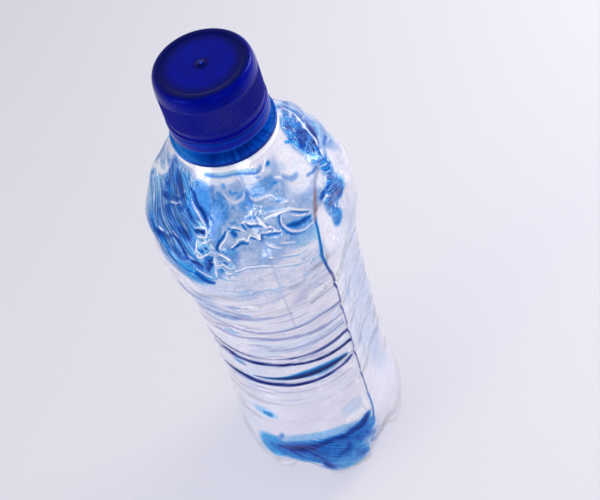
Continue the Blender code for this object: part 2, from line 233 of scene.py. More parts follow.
def bottleOutside():
    b = bottle
    points = [domePoint(math.pi / 2 * k / b["domeRows"]) for k in range(b["domeRows"])]
    z, top = b["baseHeight"], b["ringBottom"] - 0.6 * mm
    while z < top - 0.3 * mm:
        points.append((wallRadius(z), z))
        z += [step for start, step in b["rowSteps"] if start * mm <= z][-1] * mm * b["rowScale"]
    return points + [(wallRadius(top), top)]


def wallThickness(z):
    b = bottle
    wall = b["wallBase"] + (b["wallMiddle"] - b["wallBase"]) * smoothStep((z - 12 * mm) / (20 * mm))
    return wall + (b["wallShoulder"] - b["wallMiddle"]) * smoothStep((z - 130 * mm) / (30 * mm))


def insetOutline(outline):
    moved = []
    for i, (radius, z) in enumerate(outline):
        before, after = outline[max(i - 1, 0)], outline[min(i + 1, len(outline) - 1)]
        alongR, alongZ = after[0] - before[0], after[1] - before[1]
        length, wall = math.hypot(alongR, alongZ), wallThickness(z)
        if i == 0:
            moved.append((0.0, z + wall))
        else:
            moved.append((radius - wall * alongZ / length, z + wall * alongR / length))
    return moved


def roundTo(points, radiusEnd, zEnd, radiusMid, zMid, steps=4):
    # adds an arc from the last point past a corner
    r0, z0 = points[-1]
    for k in range(1, steps + 1):
        t = k / steps
        points.append(((1 - t) ** 2 * r0 + 2 * t * (1 - t) * radiusMid + t * t * radiusEnd,
                       (1 - t) ** 2 * z0 + 2 * t * (1 - t) * zMid + t * t * zEnd))


def neckOutside():
    b = bottle
    low, top, edge = b["ringBottom"], b["ringBottom"] + b["ringThickness"], b["ringRadius"]
    neck, bead, beadAt = b["neckRadius"], b["beadRadius"], b["beadHeight"]
    wall, lip = b["threadWall"], b["lipTop"]
    points = [(15.1 * mm, low - 0.25 * mm)]
    roundTo(points, edge - 0.5 * mm, low, 15.3 * mm, low, 3)
    roundTo(points, edge, low + 0.5 * mm, edge, low, 3)
    points.append((edge, top - 0.5 * mm))
    roundTo(points, edge - 0.6 * mm, top, edge, top, 3)
    points.append((neck + 0.7 * mm, top + 0.25 * mm))
    roundTo(points, neck, top + 0.9 * mm, neck, top + 0.3 * mm, 3)
    points.append((neck, beadAt - 0.6 * mm))
    roundTo(points, bead, beadAt, bead, beadAt - 0.4 * mm, 3)
    roundTo(points, wall, beadAt + 1.5 * mm, wall + 0.3 * mm, beadAt + 1.3 * mm, 4)
    points += [(wall, z) for z in spread(beadAt + 1.9 * mm, lip - 0.7 * mm, b["neckRows"])]
    roundTo(points, wall - 0.6 * mm, lip, wall, lip, 3)
    return points


def boreInside():
    bore, lip, low = bottle["boreRadius"], bottle["lipTop"], bottle["ringBottom"]
    points = [(bore + 0.5 * mm, lip)]
    roundTo(points, bore, lip - 0.5 * mm, bore, lip, 3)
    points += [(bore, z) for z in spread(lip - 4 * mm, low + 5 * mm, 4)]
    roundTo(points, bore + 0.8 * mm, low + 0.6 * mm, bore, low + 2.5 * mm, 5)
    return points


def footShare(azimuth):
    wave = 0.5 + 0.5 * np.cos(bottle["feet"] * turnFrom(azimuth, bottle["frontFoot"]))
    return smoothStep(wave / 0.7)


def between(z, low, high, rise, fall):
    # 0 below and above, 1 in the middle
    return smoothStep((z - low) / rise) * smoothStep((high - z) / fall)


def creaseAzimuth(z):
    azimuth = bottle["creaseAzimuth"]
    for swing, start, rise in bottle["creaseSwings"]:
        azimuth = azimuth + math.radians(swing) * smoothStep((z - start * mm) / (rise * mm))
    return azimuth


def panelShare(azimuth, z):
    # the flat that was pressed in to the right of the crease
    share = turnFrom(azimuth, creaseAzimuth(z)) / bottle["panelSpan"]
    across = np.where(share < 0.5, np.minimum(1.0, 2.4 * share), smoothStep(2.0 - 2.0 * share))
    across = np.where((share <= 0) | (share >= 1), 0.0, across)
    return across * between(z, bottle["panelBottom"], bottle["panelTop"], 22 * mm, 26 * mm)


def creaseShare(azimuth, z):
    off = np.abs(turnFrom(azimuth, creaseAzimuth(z))) / bottle["creaseHalfWidth"]
    along = between(z, bottle["panelBottom"], bottle["panelTop"], 12 * mm, 12 * mm)
    return np.maximum(0.0, 1.0 - off) * along


def ribDepth(azimuth, z):
    depth = np.zeros_like(z)
    for k, deepest in enumerate(bottle["ribDepths"]):
        off = np.abs(z - (bottle["firstRib"] + k * bottle["ribPitch"])) / bottle["ribHalfWidth"]
        depth = np.maximum(depth, deepest * mm * (1.0 - smoothStep(off)))
    return depth * (1.0 - 0.7 * panelShare(azimuth, z))


def dentDepth(azimuth, z):
    depth = np.zeros_like(z)
    for at, height, halfWidth, halfHeight, deepest in bottle["dents"]:
        across = turnFrom(azimuth, math.radians(at)) * wallRadius(height * mm) / (halfWidth * mm)
        depth += deepest * mm * (1.0 - smoothStep(np.hypot(across, (z / mm - height) / halfHeight)))
    return depth


def wrinkleDepth(azimuth, z):
    waves = np.zeros_like(z)
    for height, around, up, start in bottle["wrinkles"]:
        waves += height * mm * np.sin(around * azimuth + 2 * math.pi * up * z + start)
    return waves * between(z, bottle["wrinkleBottom"], bottle["wrinkleTop"], 14 * mm, 14 * mm)


def valleyDepth(azimuth, z):
    # between two feet
    up = between(z, 14 * mm, bottle["valleyTop"], 10 * mm, 14 * mm)
    return bottle["valleyDepth"] * (1.0 - footShare(azimuth)) * up


def threadRidge(azimuth, z, ridge, start):
    # how far a round helical ridge stands out of its wall
    turns, pitch = bottle["threadTurns"], bottle["threadPitch"]
    share = np.mod(azimuth, 2 * math.pi) / (2 * math.pi)
    turn = np.clip(np.round((z - start) / pitch - share) + share, 0, turns)
    off = z - (start + pitch * turn)
    onTurn = np.abs((turn - share) - np.round(turn - share)) < 1e-6
    taper = 0.35 + 0.65 * np.clip(np.minimum(turn, turns - turn) * 8, 0, 1)
    return np.where(onTurn, np.sqrt(np.maximum(0, (ridge * taper) ** 2 - off ** 2)), 0.0)


# how the thin wall is folded: every place is (azimuth in degrees, height in mm)
folds = {
    "height": 0.9 * mm, "calm": 0.06, "least": 0.03,     # of the broad folds
    "ridge": 0.22 * mm, "groove": 0.16 * mm, "thinShare": 0.4,
    "slant": math.radians(2.9) / mm,  # how fast the slanting folds turn on their way up
    "slantReach": 0.16, "slantRadius": 31.0 * mm, "levelReach": 0.42,
    # size and swirl of the waves
    "levelWaves": (3.6 * mm, 2.4 * mm), "slantedWaves": (2.5 * mm, 2.2 * mm), "waveHeight": 1.7,
    "plain": 0.04,                    # level and stir outside the areas
    "skew": 5.5 * mm,                 # how far the level folds sink towards the right, in front
    "finest": 0.33, "coarser": 0.003,                    # the width of a stroke, and more of it per degree
    # how far below a pale crease the painted shade on its flank lies
    "flankDrop": 0.5 * mm,
    # behind, the strokes are repeated wider and weaker
    "behindTurn": 172, "behindWider": 2.4, "behindShare": 0.8,
    # azimuth, height, half width in degrees, half height in mm, tilt, level, stir, how much it slants
    "areas": [
        (-95, 92, 60, 34, 0, 0.06, 0.06, 0.0),
        (-138, 118, 26, 12, 0, 0.14, 0.16, 0.0),
        (-95, 136, 70, 13, 0, 0.13, 0.10, 0.0),
        (-100, 156, 200, 14, 0, 0.29, 0.13, 0.0),
        (105, 156, 95, 15, 0, 0.33, 0.22, 0.5),
        (-160, 155, 40, 18, 0, 0.54, 0.46, 1.0),
        (-147, 153, 29, 17, 0, 0.66, 0.50, 1.0),
        (-132, 161, 12, 6, -20, 0.30, 0.06, 0.0),
        (-133, 142, 16, 6, -15, 0.52, 0.34, 0.6),
        (-114, 147, 8, 6, 0, 0.42, 0.30, 0.4),
        (-46, 161, 17, 8, 0, 0.05, 0.05, 0.3),
        (-53, 141, 9, 11, 0, 0.03, 0.03, 0.5),
        (-39.5, 138.5, 7, 6, 0, 0.50, 0.40, 1.0),
        (-35.5, 145.8, 15, 8, 0, 0.70, 0.42, 1.0),
        (-28, 152.8, 9, 5, 0, 0.60, 0.40, 0.6),
        (5, 160.5, 17, 8.8, 0, 0.60, 0.46, 0.0),
        (-13, 161.8, 20, 8.8, 0, 0.64, 0.48, 0.0),
        (-98, 24, 52, 17, 3, 0.15, 0.40, 0.7),
        (-17, 146, 13, 12, 0, 0.09, 0.12, 1.0),
        (-28, 90, 30, 66, 0, 0.14, 0.08, 0.5),
    ],
    # raised creases, painted white as highlights: width in mm, then the places along them
    "pale": [
        # the zigzag across the front
        (0.33, [(-111, 156.4), (-106, 156), (-103, 155.4), (-101, 154.6), (-99, 153.9)]),
        (0.33, [(-103, 157.1), (-98, 156.7), (-96, 155.9), (-92, 155.2), (-89, 154.4), (-87, 153.4),
                (-84, 153), (-82, 151.8), (-79.5, 151.4)]),
        (0.34, [(-115, 150.6), (-110, 150.9), (-107, 151.6), (-105, 152.4), (-102, 152.2), (-100, 151.4),
                (-98, 152.6), (-95, 151.9), (-93, 150.9), (-92, 152.4), (-88, 152.4), (-84, 152),
                (-81, 151.3)]),
        (0.31, [(-110.5, 155), (-112, 153.5), (-115, 152.2), (-116.5, 151), (-117, 149.9)]),
        (0.31, [(-96, 153.6), (-94, 152.6), (-93, 151.2)]),
        (0.31, [(-90.5, 156.9), (-88.5, 155), (-86.5, 153.4)]),
        # the loop beside the crease
        (0.31, [(-56, 147.5), (-63, 147.1), (-68, 147.6), (-72, 148.8), (-75, 150.2), (-77, 152),
                (-76.5, 153.4), (-74, 154.3)]),
        (0.52, [(-89, 154.8), (-84, 155.2), (-78, 155), (-72, 154.8), (-68, 154.6), (-64, 153), (-60, 151.4),
                (-57.5, 150.2)]),
        (0.31, [(-70, 153.2), (-67, 152), (-63, 150.6), (-59, 149.7)]),
        # below the zigzag
        (0.55, [(-118.7, 148.6), (-116, 147.6), (-113.5, 146.4), (-112, 145.8)]),
        (0.31, [(-120, 143.6), (-118, 144.4), (-116, 143.6), (-114.5, 143)]),
        (0.31, [(-117.5, 142.4), (-115.5, 141.2), (-113.5, 141.4)]),
        (0.42, [(-113, 141.9), (-108, 142.5), (-104, 143.6), (-99, 144), (-95, 143.6), (-91, 142.2),
                (-85, 140.5), (-78, 138.6), (-68, 137)]),
        (0.31, [(-91, 149.8), (-87, 148), (-82, 146.5)]),
        (0.31, [(-83, 148.6), (-79, 147.4), (-74, 145.8)]),
        (0.31, [(-92, 146.2), (-89, 145.2)]),
        (0.31, [(-86, 145), (-80, 143), (-75, 141.5)]),
        # under the ring
        (0.85, [(-90, 162.3), (-88, 161), (-85, 160.5), (-80, 160.4), (-75, 160.2), (-73, 159.2)], 0.6),
        (0.90, [(-111, 164.4), (-107, 162.6), (-103, 161.6), (-99, 161.6), (-95, 162.2), (-93, 163.6)],
         0.55),
        (0.34, [(-80, 168.2), (-77, 168.3), (-74, 167.8)]),
        (0.42, [(-70, 165.8), (-68, 166.9), (-65, 167.4), (-62, 168.4), (-59, 168)]),
        (0.51, [(-66, 163.4), (-62, 162.6), (-59, 161.4), (-57, 160)]),
        # down the left flank
        (0.45, [(-138.5, 162.4), (-134, 160.5), (-130, 158.6), (-127, 156.9), (-125.4, 155.9)], 0.8),
        (0.31, [(-134, 153), (-132, 155), (-128, 155.5), (-125.2, 155.4), (-124.4, 154.2), (-126, 153),
                (-129, 152.5), (-132, 152.3), (-136, 153)]),
        (0.31, [(-131.5, 152), (-132.4, 150.5), (-131.8, 148), (-130.5, 146.8), (-128, 147.2), (-124, 148.4),
                (-122, 149.2)]),
        (0.31, [(-130, 150.4), (-127, 151.3), (-124, 151.9)]),
        (0.42, [(-159.5, 157.8), (-155, 158.6), (-151, 159), (-148, 160.4)], 0.7),
        (0.34, [(-144, 156), (-140, 155), (-137, 154.2)], 0.5),
        (0.68, [(-162.5, 149.6), (-158, 149.3)], 0.9),
        (0.34, [(-151, 151.2), (-148, 150.4), (-145, 150)], 0.7),
        (0.34, [(-158, 146), (-152, 145.2), (-147, 144), (-143, 143.2), (-139, 143.8), (-137, 145.6)], 0.5),
        (0.34, [(-172, 159.6), (-169, 157.9), (-164, 156.4)], 0.4),
        (0.47, [(-138, 146.6), (-135, 146.2), (-133, 145.2)], 0.7),
        (0.51, [(-135, 142.2), (-132, 140.2), (-129, 139), (-125, 138.6)], 0.7),
        (0.31, [(-120.5, 149), (-121.5, 146), (-122, 143), (-122.5, 140.5), (-122, 137)]),
        (0.40, [(-122.5, 136.4), (-121.6, 134.4), (-121.8, 132.6)], 0.6),
        # above the ribs and in the dent
        (0.34, [(-122, 120.5), (-118.5, 121.6), (-115, 123.6), (-111, 124.4), (-107, 123.8), (-105, 122)]),
        (0.51, [(-61, 129), (-66, 128.6), (-72, 127), (-75, 123.4), (-76, 120), (-79, 118.4)]),
        (0.95, [(-80, 118), (-75, 119.6), (-70, 120.2), (-66, 119.4)]),
        (0.90, [(-72.5, 123), (-70, 120), (-67.6, 116.4)]),
        (0.85, [(-64.6, 119.2), (-64.2, 116.4)]),
        # to the right of the crease
        (0.42, [(-54, 144), (-52, 136), (-47, 131)]),
        (0.45, [(-49, 149.8), (-45, 150.2), (-42, 148.8)]),
        (0.40, [(-24, 141), (-22, 145), (-20, 148)], 0.7),
        (0.60, [(14, 166.5), (12, 163.5), (6, 161.6), (-2, 160.6), (-10, 158.4), (-16, 156.6),
                (-22, 154.4), (-25, 152)]),
        (0.50, [(-20, 168), (-15, 166), (-11, 164.5)]),
        (0.46, [(-10, 160), (-6, 161), (0, 160.3), (5, 159)]),
        (0.42, [(0, 165.3), (10, 163.8), (15, 163.3)]),
        (0.40, [(-15, 155.5), (-9, 155)], 0.7),
        (0.46, [(-5, 151.5), (3, 150)], 0.8),
    ],
    # dark grooves, painted deep blue as shade, in the same way
    "dark": [
        # the zigzag and the loop
        (0.60, [(-112, 155.2), (-114, 153.7), (-117, 152.2), (-118.5, 150), (-117, 148.9)]),
        (0.65, [(-118.7, 147), (-116.5, 145.4), (-115, 144.3)]),
        (0.35, [(-110, 155.6), (-105, 155.2), (-102, 154.6)]),
        (0.35, [(-101, 156.6), (-99, 154.2)]),
        (0.38, [(-98, 156.1), (-96.5, 155.1), (-92, 154.5), (-88, 153.6)]),
        (0.35, [(-99, 152), (-94, 151.2), (-92, 150.4)]),
        (0.38, [(-93, 152.6), (-91, 150.8)]),
        (0.45, [(-110, 150.1), (-104, 151.2), (-100, 150.5)]),
        (0.35, [(-91, 151.8), (-84, 151.3), (-80, 150.8)]),
        (0.35, [(-87, 154.3), (-85, 153), (-82, 152.4)]),
        (0.80, [(-108, 154.8), (-106, 153.4)]),
        (0.32, [(-74, 154.9), (-77, 154), (-78.2, 152), (-76.4, 149.8), (-72, 148), (-66, 146.5)]),
        (0.90, [(-75, 151.4), (-72, 150.6), (-68, 149.7), (-63, 149), (-59, 148.6)]),
        (0.45, [(-69, 153.9), (-65, 152.6), (-62, 151), (-58.5, 150)]),
        # down the left flank
        (0.70, [(-140, 164.2), (-136, 163.2), (-134, 161.9), (-131, 160.8), (-128, 159.8), (-125, 157.9),
                (-123.5, 156.2)]),
        (0.80, [(-133.5, 153.5), (-130, 153.9), (-126.3, 154.6)]),
        (0.35, [(-132.8, 152), (-133.9, 150.5), (-133, 148.2)]),
        (0.90, [(-128, 149), (-125, 149.8)]),
        (0.95, [(-163, 167.3), (-158, 165.6), (-153, 163.6), (-149, 162.4)]),
        (0.90, [(-169, 157.8), (-162, 158)]),
        (0.45, [(-159, 156.8), (-152, 158.4), (-148, 159.6)]),
        (0.50, [(-146, 161.2), (-142, 160.4)]),
        (0.70, [(-140.5, 160), (-137, 157.6), (-134, 156.2), (-131, 155.9)]),
        (1.00, [(-147, 151.7), (-143, 151.5), (-139, 151)]),
        (0.55, [(-152, 149.5), (-146, 149.1), (-142, 147.8), (-139, 146.2), (-138.2, 145.2)]),
        (0.75, [(-164, 148.2), (-158, 148), (-152, 148.4)]),
        (0.85, [(-136, 144.4), (-133, 144.7), (-131, 143.8), (-130.5, 142.2)]),
        (0.40, [(-136, 139.8), (-133, 138.2), (-129, 137), (-125, 136.8)]),
        (1.20, [(-123, 147), (-125, 144), (-128, 140.8)]),
        (0.55, [(-119.5, 142.6), (-117.5, 141.6)]),
        # under the ring
        (0.80, [(-110, 166.2), (-108.5, 165.4)], 0.5),
        (0.60, [(-105, 164.3), (-102, 163.6), (-98, 163.7)], 0.5),
        (0.85, [(-87, 162), (-84, 161.7)], 0.5),
        (0.80, [(-71, 162.6), (-68, 162), (-66, 162.2)], 0.5),
        (0.60, [(-65, 166.8), (-61, 166.9)]),
    ],
}


def slantedPlaces(azimuth, z):
    # along these, slanting folds run down to the right like a drawn-out screw
    radius = np.full_like(z, folds["slantRadius"])
    return unpolar(radius, azimuth + folds["slant"] * z, folds["slantReach"] * z)


def foldNoise(places, size, warp, warpSize=6.0 * mm):
    out = np.empty(len(places))
    for i, place in enumerate(places):
        p = Vector(place)
        out[i] = noise.noise((p + noise.noise_vector(p / warpSize) * warp) / size)
    return folds["waveHeight"] * out


def foldWaves(azimuth, z, slants):
    # level folds lie round the bottle
    sunk = z - folds["skew"] * np.cos(azimuth)
    levelPlaces = unpolar(np.full_like(z, folds["levelReach"] * folds["slantRadius"]), azimuth, sunk)
    return ((1 - slants) * foldNoise(levelPlaces, *folds["levelWaves"])
            + slants * foldNoise(slantedPlaces(azimuth, z), *folds["slantedWaves"]))


def areaShare(azimuth, z, at, height, halfAcross, halfUp, tilt):
    across = np.degrees(turnFrom(azimuth, math.radians(at))) * 0.5       # about mm
    up = z / mm - height
    c, s = math.cos(math.radians(tilt)), math.sin(math.radians(tilt))
    off = np.hypot((c * across + s * up) / (0.5 * halfAcross), (c * up - s * across) / halfUp)
    return smoothStep((1.0 - off) / 0.45)


def foldLevels(azimuth, z):
    level, stir = np.full_like(z, folds["plain"]), np.full_like(z, folds["plain"])
    slants = np.zeros_like(z)
    for *where, areaLevel, areaStir, areaSlant in folds["areas"]:
        share = areaShare(azimuth, z, *where)
        level += (areaLevel - level) * share
        stir += (areaStir - stir) * share
        slants += (areaSlant - slants) * share
    return level, stir, slants


def smoothPath(points, steps=5):
    # a rounded curve through the points
    path = [points[0]]
    for i in range(len(points) - 1):
        p0, p1, p2 = points[max(i - 1, 0)], points[i], points[i + 1]
        p3 = points[min(i + 2, len(points) - 1)]
        for k in range(1, steps + 1):
            t = k / steps
            path.append(tuple(0.5 * (2 * b + (c - a) * t + (2 * a - 5 * b + 4 * c - d) * t * t
                                     + (3 * b - a - 3 * c + d) * t ** 3)
                              for a, b, c, d in zip(p0, p1, p2, p3)))
    return np.array(path)


def strokeShare(places, points, widths):
    # 1 on the line and fading over its width: a list along it, or one width that tapers to the ends
    path = smoothPath(points)
    line = roundWall(np.radians(path[:, 0]), path[:, 1] * mm)
    along = np.linspace(0, 1, len(line))
    if isinstance(widths, list):
        sizes = np.interp(along, np.linspace(0, 1, len(widths)), widths) * mm
    else:
        sizes = widths * mm * (0.3 + 0.7 * np.minimum(1.0, 3.5 * np.minimum(along, 1 - along)))
    reach = 3.0 * sizes.max()
    near = np.all((places > line.min(axis=0) - reach) & (places < line.max(axis=0) + reach), axis=1)
    there, nearest = places[near], np.full(int(near.sum()), 9.0)
    for k in range(len(line) - 1):
        step = line[k + 1] - line[k]
        t = np.clip((there - line[k]) @ step / (step @ step), 0, 1)
        gap = np.linalg.norm(there - line[k] - t[:, None] * step, axis=1)
        gap = gap / (sizes[k] + t * (sizes[k + 1] - sizes[k]))
        nearest = np.minimum(nearest, gap)
    share = np.zeros(len(places))
    share[near] = np.exp(-nearest ** 2)
    return share


def strokesOf(places, strokes, turn=0):
    share, front = np.zeros(len(places)), math.degrees(bottle["denserAt"])
    for width, points, *strength in strokes:
        moved = [(at + turn, height) for at, height in points]
        # no finer than the columns there
        wide = max(width, folds["finest"] + folds["coarser"] * abs(points[0][0] - front))
        weight = (strength or [1.0])[0] * (width / wide) ** 0.8
        share = np.maximum(share, weight * strokeShare(places, moved, wide))
    return share


def strokesAround(places, strokes):
    behind = [(width * folds["behindWider"], points, *strength) for width, points, *strength in strokes]
    return np.maximum(strokesOf(places, strokes),
                      folds["behindShare"] * strokesOf(places, behind, folds["behindTurn"]))


# blue: the plastic's own tint where it is thick, and painted shade and reflection where it lies edge on;
# strength, widths in mm along the line, places
blues = {
    "lines": [
        (0.72, [0.2, 0.6, 1.4, 2.5, 2.9, 2.5, 1.4],
         [(-132, 76.4), (-115, 76.3), (-102, 76.2), (-90, 76), (-78, 75.7), (-66, 75.2)]),
        (0.74, [1.6, 2.4, 2.8, 2.3, 1.7, 1.5, 2.2, 1.6],
         [(-134, 28), (-126, 28.4), (-116, 29), (-107, 31), (-97, 33.6),
          (-86, 33.4), (-74, 34), (-64, 36.4)]),
        (0.62, [1.2, 1.6, 1.2], [(-113, 29), (-111, 26), (-108, 23.6)]),
        (0.62, [0.9, 1.4, 0.9], [(-104, 21), (-102, 17.6), (-99, 14)]),
        (0.45, [0.4, 0.5, 0.3], [(-138, 34), (-130, 36.4), (-127, 38.6)]),
        (0.26, [0.9, 0.9, 0.9], [(-125, 168.7), (-110, 168.4), (-95, 168.4), (-84, 167.8), (-76, 167)]),
        (0.36, [0.8, 1.5, 1.3, 0.8], [(-138, 165.9), (-132, 165.9), (-127, 165.5), (-121, 165)]),
        (0.34, [0.6, 0.9, 0.6], [(-126, 161), (-119, 160.8), (-113, 160.6)]),
        (0.30, [0.8, 1.4, 0.8], [(-157, 167), (-153, 165.6), (-149, 163.8)]),
    ],
    # strength, then azimuth, height, half width in degrees, half height in mm, tilt
    "patches": [
        (0.62, -104, 27.6, 46, 11, 4), (0.50, -88, 20, 22, 13, 0), (0.30, -100, 36.6, 36, 5, 2),
        (0.50, -76, 18, 7, 4.4, 0), (0.52, -66, 31, 9, 6, 25), (0.54, -138, 28, 16, 10, 10),
        (0.26, -136, 50.4, 13, 4.6, -14), (0.70, -134.5, 49.8, 6, 2, -14), (0.34, -135, 102.2, 9, 1.8, 0),
        (0.24, -140, 83, 7, 2.4, 0), (0.42, -118, 116.8, 6, 1.7, -10), (0.30, -143, 73.6, 12, 2.6, 0),
        (0.14, -72, 46.5, 13, 5.5, 0),
        (0.42, -130, 161.5, 14, 6, 0), (0.36, -114, 160.6, 9, 5, 0), (0.30, -118, 155, 5, 4, 0),
        (0.60, -35.5, 145.8, 15, 8, 0), (0.52, -39.5, 138.5, 8, 6.5, 0), (0.56, -28, 152.6, 9, 5, 0),
        (0.60, -13, 161.8, 20, 8.6, 0), (0.56, 5, 160.5, 17, 8.6, 0), (0.10, -46, 159, 15, 5, 0),
        (0.16, -54, 164, 4, 1.6, 0),
        (0.52, -154, 155, 28, 16, 0), (0.46, -136, 141, 16, 8, 0), (0.36, -94, 161.5, 9, 3.4, 0),
        (0.34, -111, 147.6, 6, 4, -30),
        (0.22, -68, 146, 14, 5, 0), (0.25, -76, 163, 16, 2.4, 4),
        (0.20, 100, 20, 150, 13, 0),
    ],
}
